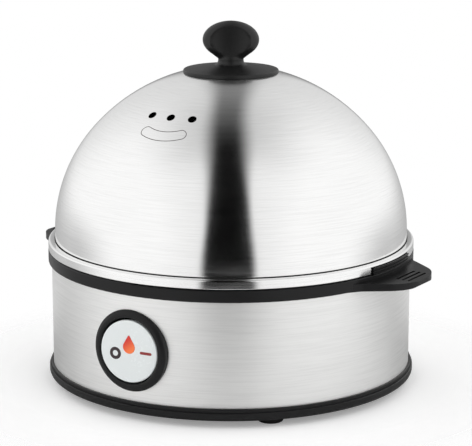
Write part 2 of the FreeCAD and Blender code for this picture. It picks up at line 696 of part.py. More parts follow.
def upper_ring():
    """Moulded ring: bowl seat, groove for the sleeve, skirt, screw pillars, strap bosses and lugs."""
    body = turned(
        "ring_turned",
        [
            ("ring_opening", "shoulder"),
            ("ring_opening", "ring_bottom"),
            ("tuck_radius - skirt_wall", "ring_bottom"),
            ("tuck_radius - skirt_wall", "ring_bottom - skirt_height"),
            ("tuck_radius", "ring_bottom - skirt_height"),
            ("tuck_radius", "ring_bottom"),
            ("ring_radius", "ring_bottom", "ring_round"),
            ("ring_radius", "ring_top", "ring_round"),
            ("flange_radius + seat_gap", "ring_top"),
            ("flange_radius + seat_gap", "shoulder"),
        ],
    )
    pillars = [(x, y, "pillar_radius") for x, y in four_screws()]
    extrude(body, circle_sketch(body, pillars, "boss_top"), "ring_bottom + overlap - boss_top")
    bosses = [(x, "0", "strap_boss_radius") for x in ("strap_ring", "-strap_ring")]
    extrude(body, circle_sketch(body, bosses, "strap_seat"), "strap_boss + overlap")
    pilots = [(x, y, "screw_radius + seat_gap") for x, y in four_screws()]
    extrude(body, circle_sketch(body, pilots, "boss_top"), "screw_length", "Pocket", flip=True)
    pilots = [(x, "0", "tiny_radius + seat_gap") for x in ("strap_ring", "-strap_ring")]
    extrude(body, circle_sketch(body, pilots, "strap_seat"), "strap_boss", "Pocket", flip=True)
    right = grip_lug()
    left = doc.addObject("Part::Mirroring", "lug_left")
    left.Source = right
    left.Normal = V(1, 0, 0)
    whole = boolean("Fuse", "ring_whole", body, right, left)
    groove = turned(
        "sleeve_groove",
        [
            ("tuck_radius", "ring_bottom - overlap"),
            ("drum_radius + seat_gap", "ring_bottom - overlap"),
            ("drum_radius + seat_gap", "ring_bottom + ring_tuck + seat_gap"),
            ("tuck_radius", "ring_bottom + ring_tuck + seat_gap"),
        ],
    )
    return boolean("Cut", "upper_ring", whole, groove)


def bowl_seal():
    return turned(
        "bowl_seal",
        [
            ("flange_radius - seal_width", "shoulder"),
            ("flange_radius", "shoulder"),
            ("flange_radius", "shoulder + seal_height"),
            ("flange_radius - seal_width", "shoulder + seal_height", "seal_height / 2"),
        ],
    )


def heating_bowl():
    """Pressed water dish with its flange, and the stud welded under its middle."""
    return turned(
        "heating_bowl",
        [
            ("0", "bowl_floor"),
            ("bowl_radius - bowl_taper", "bowl_floor", "bowl_bend"),
            ("bowl_radius", "flange_top", "bowl_lip + bowl_wall"),
            ("flange_radius", "flange_top"),
            ("flange_radius", "flange_top - bowl_wall"),
            ("bowl_radius + bowl_wall", "flange_top - bowl_wall", "bowl_lip"),
            ("bowl_radius - bowl_taper + bowl_wall", "bowl_under", "bowl_bend + bowl_wall"),
            ("stud_radius", "bowl_under"),
            ("stud_radius", "bowl_under - stud_length"),
            ("0", "bowl_under - stud_length"),
        ],
    )


def plate_screws():
    """Middles of the small screws in the heater plate: two for the bracket, two for the saddle."""
    bracket = [(f"{a}bracket_pitch / 2", "thermo_offset") for a in ("", "-")]
    return bracket + [("0", f"-fuse_offset {a} saddle_pitch / 2") for a in ("+", "-")]


def heater_plate():
    """Aluminium plate under the bowl, with a groove that the heater tube lies in."""
    body = turned(
        "plate_turned",
        [
            ("plate_hole", "plate_under"),
            ("plate_radius", "plate_under"),
            ("plate_radius", "bowl_under"),
            ("plate_hole", "bowl_under"),
        ],
    )
    holes = [("0", "thermo_offset", "thermo_cap + seat_gap")]
    holes += [(x, y, "tiny_radius + seat_gap") for x, y in plate_screws()]
    extrude(body, circle_sketch(body, holes, "bowl_under"), "plate_height", "Pocket")
    groove = primitive("Torus", "tube_groove", Radius1="heater_ring", Radius2="heater_tube + seat_gap")
    place(groove, z="heater_level")
    return boolean("Cut", "heater_plate", body, groove)


def heater_tube():
    """Tubular heater: an open ring whose two ends turn down at the back."""
    ring, gap, bend = size("heater_ring"), size("heater_gap"), size("heater_bend")
    level, leg = size("heater_level"), size("heater_leg")
    first, last = math.radians(90 + gap), math.radians(450 - gap)

    def on_ring(angle):
        return V(ring * math.cos(angle), ring * math.sin(angle), level)

    def end(angle, sense):
        """The elbow and upright leg that leave the ring at an angle."""
        start = on_ring(angle)
        out = V(-math.sin(angle), math.cos(angle), 0) * sense
        half = math.sqrt(0.5)
        crest = start + out * (bend * half) - V(0, 0, bend * (1 - half))
        foot = start + out * bend - V(0, 0, bend)
        elbow = Part.Arc(start, crest, foot).toShape()
        return elbow, Part.LineSegment(foot, foot - V(0, 0, leg)).toShape()

    elbow_a, leg_a = end(first, -1)
    elbow_b, leg_b = end(last, 1)
    middle = on_ring((first + last) / 2)
    arc = Part.Arc(on_ring(first), middle, on_ring(last)).toShape()
    path = Part.Wire([leg_a, elbow_a, arc, elbow_b, leg_b])
    foot = V(-size("leg_x"), size("leg_y"), size("leg_end"))
    section = Part.Wire(Part.Circle(foot, V(0, 0, 1), size("heater_tube")).toShape())
    item = doc.addObject("Part::Feature", "heater_tube")
    item.Shape = path.makePipeShell([section], True, False)
    return item


def heater_terminals():
    """Ceramic collars and pins on the heater's two ends."""
    body = new_body("heater_terminals")
    ends = [(f"{a}(leg_x)", "leg_y") for a in ("", "-")]
    collars = [(x, y, "collar_radius") for x, y in ends]
    extrude(body, circle_sketch(body, collars, "leg_end - collar_height"), "collar_height")
    pins = [(x, y, "pin_radius") for x, y in ends]
    extrude(body, circle_sketch(body, pins, "terminal_end"), "pin_length + collar_height / 2")
    return body


def box_corners(x, y, width, height):
    """A rectangle about a middle."""
    left, right = f"{x} - ({width}) / 2", f"{x} + ({width}) / 2"
    low, high = f"{y} - ({height}) / 2", f"{y} + ({height}) / 2"
    return [(left, low), (right, low), (right, high), (left, high)]


def thermostat():
    """Snap-disc thermostat: metal cap against the bowl, ceramic body, two blades."""
    body = new_body("thermostat")
    spot = ("0", "thermo_offset")
    ceramic = "thermo_under"
    extrude(body, circle_sketch(body, [spot + ("thermo_body",)], ceramic), "thermo_height + seat_gap")
    top = circle_sketch(body, [spot + ("thermo_cap",)], "bowl_under - seat_gap - thermo_cap_height")
    extrude(body, top, "thermo_cap_height")
    blades = new_sketch(body, "XY_Plane", "blade_end")
    for x in ("-thermo_pitch / 2", "thermo_pitch / 2"):
        draw_loop(blades, box_corners(x, "thermo_offset", "blade_thick", "blade_width"))
    extrude(body, blades, "blade_length + thermo_height / 4")
    return body


def thermostat_bracket():
    """Sheet bracket that holds the thermostat's cap up in the plate's hole."""
    body = new_body("thermostat_bracket")
    sketch = new_sketch(body, "XY_Plane", "plate_under - sheet")
    corners = box_corners("0", "thermo_offset", "bracket_length", "bracket_width")
    draw_loop(sketch, [corner + ("bracket_width / 4",) for corner in corners])
    draw_circles(sketch, [("0", "thermo_offset", "thermo_body + seat_gap")])
    draw_circles(sketch, [(x, y, "tiny_radius + seat_gap") for x, y in plate_screws()[:2]])
    extrude(body, sketch, "sheet")
    return body


def thermal_fuse():
    body = new_body("thermal_fuse")
    sketch = circle_sketch(body, [("-fuse_offset", "fuse_level", "fuse_radius")], plane="YZ_Plane")
    extrude(body, sketch, "fuse_length", both=True)
    return body


def fuse_saddle():
    """Sheet saddle bent over the fuse, with an ear on each side."""
    body = new_body("fuse_saddle")
    arch = "fuse_radius + seat_gap"
    middle = "-fuse_offset"
    reach = "saddle_pitch / 2 + saddle_ear"
    low = f"fuse_level - ({arch}) - sheet"
    corners = [
        (f"{middle} - ({reach})", "plate_under - sheet"),
        (f"{middle} - ({arch}) - sheet", "plate_under - sheet"),
        (f"{middle} - ({arch}) - sheet", low, f"{arch} / 2"),
        (f"{middle} + ({arch}) + sheet", low, f"{arch} / 2"),
        (f"{middle} + ({arch}) + sheet", "plate_under - sheet"),
        (f"{middle} + ({reach})", "plate_under - sheet"),
        (f"{middle} + ({reach})", "plate_under"),
        (f"{middle} + ({arch})", "plate_under"),
        (f"{middle} + ({arch})", f"fuse_level - ({arch})"),
        (f"{middle} - ({arch})", f"fuse_level - ({arch})"),
        (f"{middle} - ({arch})", "plate_under"),
        (f"{middle} - ({reach})", "plate_under"),
    ]
    extrude(body, loop_sketch(body, "YZ_Plane", corners), "saddle_width", both=True)
    holes = [(x, y, "tiny_radius + seat_gap") for x, y in plate_screws()[2:]]
    extrude(body, circle_sketch(body, holes, "plate_under"), "sheet", "Pocket")
    return body


def bracket_screws():
    """Four small screws up into the heater plate."""
    body = new_body("bracket_screws")
    seat = "plate_under - sheet"
    heads = [(x, y, "tiny_head_radius") for x, y in plate_screws()]
    extrude(body, circle_sketch(body, heads, f"{seat} - tiny_head"), "tiny_head")
    shanks = [(x, y, "tiny_radius") for x, y in plate_screws()]
    shank = "plate_height + sheet - 2 * seat_gap + tiny_head / 2"
    extrude(body, circle_sketch(body, shanks, f"{seat} - tiny_head / 2"), shank)
    return body


def clamp_strap():
    """Sheet strap bent under the heater, from one ring boss to the other, round the stud."""
    body = new_body("clamp_strap")
    ear = "strap_ring + strap_ear"
    inner = "strap_leg - strap_sheet"
    corners = [
        (f"-({ear})", "strap_seat - strap_sheet"),
        ("-(strap_leg)", "strap_seat - strap_sheet"),
        ("-(strap_leg)", "strap_under", "strap_bend"),
        ("strap_leg", "strap_under", "strap_bend"),
        ("strap_leg", "strap_seat - strap_sheet"),
        (ear, "strap_seat - strap_sheet"),
        (ear, "strap_seat"),
        (inner, "strap_seat"),
        (inner, "strap_top"),
        (f"-({inner})", "strap_top"),
        (f"-({inner})", "strap_seat"),
        (f"-({ear})", "strap_seat"),
    ]
    extrude(body, loop_sketch(body, "XZ_Plane", corners), "strap_width", both=True)
    holes = [(x, "0", "tiny_radius + seat_gap") for x in ("strap_ring", "-strap_ring")]
    extrude(body, circle_sketch(body, holes, "strap_seat"), "strap_sheet", "Pocket")
    stud = circle_sketch(body, [("0", "0", "stud_radius + seat_gap")], "strap_top")
    extrude(body, stud, "strap_sheet", "Pocket")
    return body


def strap_screws():
    body = new_body("strap_screws")
    seat = "strap_seat - strap_sheet"
    spots = [(x, "0") for x in ("strap_ring", "-strap_ring")]
    heads = [(x, y, "tiny_head_radius") for x, y in spots]
    extrude(body, circle_sketch(body, heads, f"{seat} - tiny_head"), "tiny_head")
    shanks = [(x, y, "tiny_radius") for x, y in spots]
    shank = "strap_boss + strap_sheet + tiny_head / 2 - pilot_room"
    extrude(body, circle_sketch(body, shanks, f"{seat} - tiny_head / 2"), shank)
    return body


def stud_nut():
    nut = primitive("Prism", "nut_hexagon", Circumradius="nut_radius", Height="nut_height")
    nut.Polygon = 6
    place(nut, z="strap_under - nut_height")
    bore = primitive("Cylinder", "nut_bore", Radius="stud_radius + seat_gap", Height="nut_height * 2")
    place(bore, z="strap_under - nut_height * 1.5")
    return boolean("Cut", "stud_nut", nut, bore)


def switch_bezel():
    """Round bezel whose flange is hollowed to lie on the drum, with a barrel through the sleeve."""
    flange = turned(
        "bezel_flange",
        [
            ("bezel_bore", "-sleeve_wall"),
            ("bezel_bore", "bezel_proud", "bezel_bore_round"),
            ("(bezel_bore + bezel_radius) / 2", "bezel_proud", "bezel_crest_round"),
            ("bezel_radius", "bezel_edge", "bezel_edge_round"),
            ("bezel_radius", "-bezel_depth"),
            ("barrel_radius", "-bezel_depth"),
            ("barrel_radius", "-sleeve_wall"),
        ],
    )
    on_front(flange)
    drum = primitive("Cylinder", "bezel_hollow", Radius="drum_radius + seat_gap", Height="drum_height")
    place(drum, z="pan_rim_top")
    saddle = boolean("Cut", "bezel_saddle", flange, drum)
    barrel = turned(
        "bezel_barrel",
        [
            ("bezel_bore", "-barrel_depth"),
            ("barrel_radius", "-barrel_depth"),
            ("barrel_radius", "bezel_edge"),
            ("bezel_bore", "bezel_edge"),
        ],
    )
    holes = circle_sketch(barrel, [("0", "-pivot_depth", "pivot_radius + seat_gap")], plane="XZ_Plane")
    extrude(barrel, holes, "barrel_radius * 3", "Pocket", both=True)
    on_front(barrel)
    return boolean("Fuse", "switch_bezel", saddle, barrel)


def rocker_pins():
    """Two upright stub pins, held in the bezel's barrel."""
    body = new_body("rocker_pins")
    for flip, lift in ((False, "ear_start"), (True, "-ear_start")):
        sketch = circle_sketch(body, [("0", "-drum_radius + pivot_depth", "pivot_radius")], lift)
        extrude(body, sketch, "barrel_radius - ear_start - seat_gap", flip=flip)
    place(body, z="button_height")
    return body


def drop_outline(sketch, room):
    """A drop: a round end and two straight sides that touch it and meet in a small round tip."""
    radius, tip = f"drop_radius + {room}", f"drop_tip + {room}"
    rise, length = "drop_rise", "drop_length"
    lean = math.asin((size(radius) - size(tip)) / size(length))
    low, high = V(0, size(rise), 0), V(0, size(rise) + size(length), 0)
    right = V(math.cos(lean), math.sin(lean), 0)
    left = V(-right.x, right.y, 0)
    round_end = Part.Arc(low + left * size(radius), low - V(0, size(radius), 0), low + right * size(radius))
    round_tip = Part.Arc(high + right * size(tip), high + V(0, size(tip), 0), high + left * size(tip))
    arcs = [sketch.addGeometry(round_end), sketch.addGeometry(round_tip)]
    for side in (left, right):
        start, end = low + side * size(radius), high + side * size(tip)
        line = sketch.addGeometry(Part.LineSegment(start, end))
        near, far = near_end(sketch, arcs[0], start), near_end(sketch, arcs[1], end)
        sketch.addConstraint(Sketcher.Constraint("Tangent", line, 1, arcs[0], near))
        sketch.addConstraint(Sketcher.Constraint("Tangent", line, 2, arcs[1], far))
    pin_point(sketch, arcs[0], 3, "0", rise)
    pin_point(sketch, arcs[1], 3, "0", f"{rise} + {length}")
    pin_radius(sketch, arcs[0], radius)
    pin_radius(sketch, arcs[1], tip)


def tip_rocker(body):
    """Set a body of the rocker at its pivot, tipped to the on side."""
    return on_front(body, "(-pivot_depth)", yaw="rocker_tilt")


def rocker_cap():
    """Round cap with two ears on the pivot pins and a tail that works the switch."""
    face = "pivot_depth + rocker_proud"
    body = turned(
        "rocker_cap",
        [
            ("0", f"{face} - rocker_thick"),
            ("rocker_radius - rocker_round", f"{face} - rocker_thick"),
            ("rocker_radius", f"{face} - rocker_thick + rocker_round"),
            ("rocker_radius", face, "rocker_round"),
            ("0", face),
        ],
    )
    ears = [
        ("-ear_radius", f"{face} - rocker_thick + ear_sink"),
        ("-ear_radius", "-ear_radius", "ear_round"),
        ("ear_radius", "-ear_radius", "ear_round"),
        ("ear_radius", f"{face} - rocker_thick + ear_sink"),
    ]
    for flip, lift in ((True, "ear_start + lift_gap"), (False, "-ear_start - lift_gap")):
        sketch = loop_sketch(body, "XZ_Plane", ears, f"-({lift})")
        extrude(body, sketch, "ear_height", flip=flip)
    tail = new_sketch(body, "XY_Plane", "-tail_length")
    draw_loop(tail, box_corners("0", "-ear_start - lift_gap - ear_height / 2", "tail_width", "ear_height"))
    extrude(body, tail, f"{face} - rocker_thick / 2 + tail_length")
    bore = circle_sketch(body, [("0", "0", "pivot_radius + seat_gap")], plane="XZ_Plane")
    extrude(body, bore, "rocker_radius * 2", "Pocket", both=True)
    window = new_sketch(body, "XY_Plane", face)
    drop_outline(window, "seat_gap")
    extrude(body, window, "rocker_thick", "Pocket")
    return tip_rocker(body)


def drop_lens():
    body = new_body("drop_lens")
    face = "pivot_depth + rocker_proud"
    sketch = new_sketch(body, "XY_Plane", f"{face} - rocker_thick")
    drop_outline(sketch, "0")
    extrude(body, sketch, "rocker_thick + lens_proud")
    return tip_rocker(body)


def switch_module():
    """Switch behind the bezel: round flange on the barrel, case, two blades."""
    body = new_body("switch_module")
    flange = circle_sketch(body, [("0", "0", "barrel_radius")], "-barrel_depth - module_flange")
    extrude(body, flange, "module_flange")
    case = box_corners("0", "0", "module_width", "module_height")
    sketch = loop_sketch(body, "XY_Plane", case, "-(module_end)")
    extrude(body, sketch, "module_depth + module_flange / 2")
    blades = new_sketch(body, "XY_Plane", "-(switch_end)")
    for x in ("-module_pitch / 2", "module_pitch / 2"):
        draw_loop(blades, box_corners(x, "0", "blade_thick", "blade_width"))
    extrude(body, blades, "blade_length + module_depth / 4")
    return on_front(body)


def indicator_lamp():
    """Glow lamp behind the drop lens, standing on the switch module."""
    middle = "drop_rise + drop_radius / 2"
    body = turned(
        "indicator_lamp",
        [
            ("0", "0"),
            ("lamp_radius", "0"),
            ("lamp_radius", "lamp_length", "lamp_round"),
            ("0", "lamp_length"),
        ],
    )
    return place(body, y="-drum_radius + barrel_depth", z=f"button_height + {middle}", roll="90")


def terminal_block():
    """Two-pole block on the pan's floor, with screw wells above and wire holes in front."""
    body = new_body("terminal_block")
    width = "2 * (leg_x) + 2 * block_margin"
    plan = box_corners("0", "block_offset", width, "block_depth")
    extrude(body, loop_sketch(body, "XY_Plane", plan, "floor_top"), "block_height")
    wells = [(f"{a}(leg_x)", "block_offset", "well_radius") for a in ("", "-")]
    extrude(body, circle_sketch(body, wells, "floor_top + block_height"), "block_height / 3", "Pocket")
    return body


def lead_wires():
    """Leads in turn: block, switch, fuse, thermostat, heater and back to the block."""

    def spot(x, y, z):
        return V(size(x), size(y), size(z))

    back = "-drum_radius + switch_end"
    level = "terminal_end - wire_drop"
    side = "fuse_length / 2 + wire_run"
    routes = [
        [
            spot("-(leg_x)", "block_front", "pole_level"),
            spot("-(leg_x)", "thermo_offset", "pole_level"),
            spot("-module_pitch / 2", "-fuse_offset", "pole_level"),
            spot("-module_pitch / 2", f"{back} + wire_run", "button_height"),
            spot("-module_pitch / 2", back, "button_height"),
        ],
        [
            spot("module_pitch / 2", back, "button_height"),
            spot("module_pitch / 2", f"{back} + wire_run", "button_height"),
            spot(side, "-fuse_offset - wire_run", "button_height"),
            spot(side, "-fuse_offset", "fuse_level"),
            spot("fuse_length / 2", "-fuse_offset", "fuse_level"),
        ],
        [
            spot("-fuse_length / 2", "-fuse_offset", "fuse_level"),
            spot(f"-({side})", "-fuse_offset", "fuse_level"),
            spot(f"-({side})", "-fuse_offset + wire_run", "strap_under - wire_run"),
            spot("-thermo_pitch", "thermo_offset - wire_run", level),
            spot("-thermo_pitch / 2", "thermo_offset", level),
            spot("-thermo_pitch / 2", "thermo_offset", "blade_end"),
        ],
        [
            spot("thermo_pitch / 2", "thermo_offset", "blade_end"),
            spot("thermo_pitch / 2", "thermo_offset", level),
            spot("-(leg_x)", "leg_y", level),
            spot("-(leg_x)", "leg_y", "terminal_end"),
        ],
        [
            spot("leg_x", "leg_y", "terminal_end"),
            spot("leg_x", "leg_y", "pole_level"),
            spot("leg_x", "block_front", "pole_level"),
        ],
    ]
    radius, bend = size("wire_radius"), size("wire_bend")
    item = doc.addObject("Part::Feature", "lead_wires")
    item.Shape = Part.makeCompound([tube_shape(points, radius, bend) for points in routes])
    return item


def cord_gland():
    """Grommet in the sleeve's back: outer flange, neck, inner flange and the cord's bore."""
    hollow = "drum_radius - sqrt(drum_radius^2 - gland_inner^2)"
    body = turned(
        "cord_gland",
        [
            ("gland_bore", f"-sleeve_wall - ({hollow}) - seat_gap - gland_grip"),
            ("gland_inner", f"-sleeve_wall - ({hollow}) - seat_gap - gland_grip"),
            ("gland_inner", f"-sleeve_wall - ({hollow}) - seat_gap"),
            ("gland_neck", f"-sleeve_wall - ({hollow}) - seat_gap"),
            ("gland_neck", "seat_gap"),
            ("gland_flange", "seat_gap"),
            ("gland_flange", "gland_proud", "gland_round"),
            ("gland_bore", "gland_proud"),
        ],
    )
    return place(body, y="drum_radius", z="gland_level", roll="-90")


def egg_tray():
    """Moulded tray: plate with seven collared egg holes, rim wall under the lid, two ribbed tabs."""
    body = turned(
        "egg_tray",
        [
            ("0", "tray_bottom"),
            ("tray_radius", "tray_bottom"),
            ("tray_radius", "tray_wall_top"),
            ("tray_radius - tray_wall", "tray_wall_top"),
            ("tray_radius - tray_wall", "tray_top"),
            ("0", "tray_top"),
        ],
    )
    tab = new_sketch(body, "XZ_Plane")
    stripes = 5
    rib = f"tab_height / {stripes}"
    face = []
    for step in range(stripes):
        reach = "tab_radius" if step % 2 == 0 else "tab_radius - tab_groove"
        face.append((reach, f"tray_bottom + {step} * {rib}"))
        face.append((reach, f"tray_bottom + {step + 1} * {rib}"))
    root = "tray_radius - tray_wall / 2"
    draw_loop(tab, face + [(root, "tab_top"), (root, "tray_bottom")])
    wing = body.newObject("PartDesign::Revolution", "tray_tab")
    wing.Profile = tab
    wing.ReferenceAxis = (tab, ["V_Axis"])
    wing.Midplane = True
    bind(wing, Angle="2 * asin(tab_width / 2 / tab_radius)")
    around(body, wing, "2")
    eggs = [("0", "0")]
    eggs += [(f"egg_ring * cos({60 * i})", f"egg_ring * sin({60 * i})") for i in range(6)]
    collars = [(x, y, "egg_hole + egg_collar") for x, y in eggs]
    sketch = circle_sketch(body, collars, "tray_bottom + tray_plate / 2")
    extrude(body, sketch, "tray_plate / 2 + egg_collar_rise")
    holes = [(x, y, "egg_hole") for x, y in eggs]
    for ring, radius in (("inner_vent_ring", "inner_vent"), ("outer_vent_ring", "outer_vent")):
        for i in range(6):
            holes.append((f"{ring} * cos({60 * i + 30})", f"{ring} * sin({60 * i + 30})", radius))
    depth = "tray_plate + egg_collar_rise"
    extrude(body, circle_sketch(body, holes, "tray_bottom"), depth, "Pocket", flip=True)
    return body


def lid_dome():
    """Spun lid: stepped rim band, two-arc dome, notches for the tray's tabs, steam and screw holes."""
    body = new_body("lid_spun")
    turned_rim(body)
    dome = new_sketch(body, "XZ_Plane")
    draw_dome(dome)
    revolve(body, dome)
    rise = "tab_top - lid_bottom + lift_gap"
    notch = box_corners("0", "lid_bottom", "tab_width + 4 * lift_gap", f"2 * ({rise})")
    extrude(body, loop_sketch(body, "YZ_Plane", notch), "drum_radius * 3", "Pocket", both=True)
    screw = circle_sketch(body, [("0", "0", "bolt_radius + seat_gap")], "dome_foot")
    extrude(body, screw, "dome_rise + overlap", "Pocket", flip=True)
    holes = []
    for step in (-1, 0, 1):
        hole = primitive("Cylinder", "steam_hole", Radius="steam_radius", Height="crown_arc + overlap")
        lean = "asin(steam_ring / (crown_arc))"
        holes.append(place(hole, z="crown_middle", yaw=f"{step} * steam_step", roll=lean))
    return boolean("Cut", "lid_dome", body, *holes)


def turned_rim(body):
    """The lid's rim: band, ledge and the dome's straight foot."""
    corners = [
        ("band_inner", "lid_bottom"),
        ("band_radius", "lid_bottom"),
        ("band_radius", "ledge_top", "band_round"),
        ("dome_radius", "ledge_top", "ledge_round"),
        ("dome_radius", "dome_foot"),
        ("dome_inner", "dome_foot"),
        ("dome_inner", "ledge_under", "ledge_round + lid_wall"),
        ("band_inner", "ledge_under", "band_round - lid_wall"),
    ]
    return revolve(body, loop_sketch(body, "XZ_Plane", corners))


def draw_dome(sketch):
    """Half section of the dome: a shoulder arc and a crown arc, tangent, on both faces of the sheet."""
    foot = size("dome_foot")
    turn = math.radians(size("shoulder_angle"))
    middles = (V(size("dome_radius - shoulder_arc"), foot, 0), V(0, size("crown_middle"), 0))
    arcs = []
    for depth in ("0", "lid_wall"):
        radii = (size(f"shoulder_arc - {depth}"), size(f"crown_arc - {depth}"))
        spans = ((0, turn), (turn, math.pi / 2))
        for middle, radius, span in zip(middles, radii, spans):
            circle = Part.Circle(middle, V(0, 0, 1), radius)
            arcs.append(sketch.addGeometry(Part.ArcOfCircle(circle, *span)))
        shoulder, crown = arcs[-2:]
        sketch.addConstraint(Sketcher.Constraint("Tangent", shoulder, 2, crown, 1))
        pin_point(sketch, shoulder, 1, f"dome_radius - {depth}", "dome_foot")
        pin_point(sketch, crown, 2, "0", f"dome_top - {depth}")
        sketch.addConstraint(Sketcher.Constraint("PointOnObject", crown, 3, -2))
    pin_radius(sketch, arcs[0], "shoulder_arc")
    sketch.addConstraint(Sketcher.Constraint("Horizontal", arcs[0], 1, arcs[0], 3))
    sketch.addConstraint(Sketcher.Constraint("Coincident", arcs[0], 3, arcs[2], 3))
    for first, second, vertex in ((arcs[0], arcs[2], 1), (arcs[1], arcs[3], 2)):
        ends = (sketch.getPoint(first, vertex), sketch.getPoint(second, vertex))
        line = sketch.addGeometry(Part.LineSegment(*ends))
        sketch.addConstraint(Sketcher.Constraint("Coincident", line, 1, first, vertex))
        sketch.addConstraint(Sketcher.Constraint("Coincident", line, 2, second, vertex))


def lid_knob():
    """Moulded knob: flange hollowed to the dome, neck, lens-shaped head with a thumb dish on each face."""
    neck = turned(
        "knob_neck",
        [
            ("0", "dome_top - knob_flange"),
            ("knob_flange", "dome_top - knob_flange"),
            ("knob_flange", "flange_edge_top", "knob_edge_round"),
            ("knob_neck", "dome_top + knob_flange_root", "neck_blend"),
            ("knob_neck", "dome_top + neck_height"),
            ("neck_top", "head_middle - neck_end"),
            ("0", "head_middle - neck_end"),
        ],
    )
    crown = primitive("Sphere", "knob_hollow", Radius="crown_arc + seat_gap")
    place(crown, z="crown_middle")
    stand = boolean("Cut", "knob_stand", neck, crown)
    head = ellipsoid("knob_head", "head_width", "head_depth", "head_height")
    place(head, z="head_middle", yaw="knob_turn")
    dishes = []
    out = "(dish_web / 2 + dish_depth / 2)"
    for side, back in (("", "-"), ("-", "")):
        dish = ellipsoid("thumb_dish", "dish_width", "dish_depth", "dish_height")
        x, y = f"{side}{out} * sin(knob_turn)", f"{back}{out} * cos(knob_turn)"
        dishes.append(place(dish, x, y, "head_middle", yaw="knob_turn"))
    lens = boolean("Cut", "knob_lens", head, *dishes)
    whole = boolean("Fuse", "knob_whole", stand, lens)
    socket = primitive("Cylinder", "insert_socket", Radius="insert_radius + seat_gap", Height="knob_height")
    place(socket, z="insert_top + seat_gap - knob_height")
    return boolean("Cut", "lid_knob", whole, socket)


def knob_insert():
    """Threaded brass sleeve in the knob's neck."""
    return turned(
        "knob_insert",
        [
            ("bolt_radius + seat_gap", "dome_top + seat_gap"),
            ("insert_radius", "dome_top + seat_gap"),
            ("insert_radius", "insert_top"),
            ("bolt_radius + seat_gap", "insert_top"),
        ],
    )


def knob_screw():
    """Screw from inside the dome: round head under the washer, shank up into the insert."""
    seat = "washer_top - washer_height"
    return turned(
        "knob_screw",
        [
            ("0", f"{seat} - bolt_head"),
            ("bolt_head_radius", f"{seat} - bolt_head", "bolt_head / 2"),
            ("bolt_head_radius", seat),
            ("bolt_radius", seat),
            ("bolt_radius", "dome_top + bolt_length"),
            ("0", "dome_top + bolt_length"),
        ],
    )


def knob_washer():
    return turned(
        "knob_washer",
        [
            ("bolt_radius + seat_gap", "washer_top - washer_height"),
            ("washer_radius", "washer_top - washer_height"),
            ("washer_radius", "washer_top"),
            ("bolt_radius + seat_gap", "washer_top"),
        ],
    )


PIECES = [
    base_pan,
    rubber_feet,
    base_screws,
    steel_sleeve,
    upper_ring,
    bowl_seal,
    heating_bowl,
    heater_plate,
    heater_tube,
    heater_terminals,
    thermostat,
    thermostat_bracket,
    thermal_fuse,
    fuse_saddle,
    bracket_screws,
    clamp_strap,
    strap_screws,
    stud_nut,
    switch_bezel,
    rocker_pins,
    rocker_cap,
    drop_lens,
    switch_module,
    indicator_lamp,
    terminal_block,
    lead_wires,
    cord_gland,
    egg_tray,
    lid_dome,
    lid_knob,
    knob_insert,
    knob_screw,
    knob_washer,
]
finished = [make() for make in PIECES]
doc.recompute()

for item in doc.Objects:
    if {"Invalid", "Error"} & set(item.State):
        raise RuntimeError(f"{item.Label} did not recompute")
    if item.TypeId == "PartDesign::Pocket":
        if item.Shape.Volume > item.BaseFeature.Shape.Volume - 1e-6:
            raise RuntimeError(f"{item.Label} cuts nothing")
for item in finished:
    if item.Shape.isNull() or not item.Shape.isValid():
        raise RuntimeError(f"{item.Label} has no valid shape")

os.makedirs("parts", exist_ok=True)
for item in finished:
    item.Shape.exportStep(f"parts/{item.Label}.step")
    print(f"{item.Label}: {len(item.Shape.Solids)} solids")
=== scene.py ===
# %% [markdown]
# # A steel egg cooker under studio light
# The cooker stands on four rubber feet: a black pan, a brushed steel drum, a black ring with two lugs,
# a black egg tray and a spun steel lid with a knob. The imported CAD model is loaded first, so every new
# piece is made in metres in the same frame: +Z up, the switch facing -Y, the lugs along X.

# %% Load the frame
import math

import bmesh
import bpy
from mathutils import Matrix, Vector


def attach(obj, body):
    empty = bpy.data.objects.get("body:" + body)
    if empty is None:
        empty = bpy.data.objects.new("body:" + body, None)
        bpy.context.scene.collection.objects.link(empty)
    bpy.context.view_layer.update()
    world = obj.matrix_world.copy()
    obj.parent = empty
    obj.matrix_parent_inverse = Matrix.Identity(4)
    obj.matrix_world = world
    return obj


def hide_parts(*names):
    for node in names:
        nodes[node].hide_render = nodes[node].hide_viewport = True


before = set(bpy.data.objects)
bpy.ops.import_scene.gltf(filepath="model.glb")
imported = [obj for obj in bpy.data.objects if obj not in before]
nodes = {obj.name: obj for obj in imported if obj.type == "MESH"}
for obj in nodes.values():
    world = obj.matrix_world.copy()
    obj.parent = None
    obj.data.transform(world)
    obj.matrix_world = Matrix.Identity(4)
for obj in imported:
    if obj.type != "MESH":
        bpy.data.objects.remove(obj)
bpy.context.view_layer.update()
print("nodes loaded:", len(nodes))

# %% [markdown]
# ## The camera
# A long lens from a little above, right of the switch. The place, tilt and lens were solved from the
# ellipses of the drum's edges, so the camera needs no shift.

# %% Camera
LENS_MM = 157.55
SENSOR_MM = 36
CAMERA_PLACE = (0.47292, -0.76573, 0.27424)
CAMERA_TILT = math.radians(77.17)
CAMERA_TURN = math.radians(31.557)
camera_data = bpy.data.cameras.new("photo_camera")
camera_data.lens = LENS_MM
camera_data.sensor_width = SENSOR_MM
camera = bpy.data.objects.new("photo_camera", camera_data)
camera.location = CAMERA_PLACE
camera.rotation_euler = (CAMERA_TILT, 0, CAMERA_TURN)
bpy.context.scene.collection.objects.link(camera)
bpy.context.scene.camera = camera
bpy.context.scene.view_settings.view_transform = "Standard"
print("lens", LENS_MM, "mm")


# %% [markdown]
# ## Helpers for node trees
# Every material and the world are node trees, and all of them are wired in the same few ways. One helper
# adds a node and feeds its inputs. The others stand on it: arithmetic with numbers and with vectors, a
# smooth ramp, a noise, and the start of a finish.

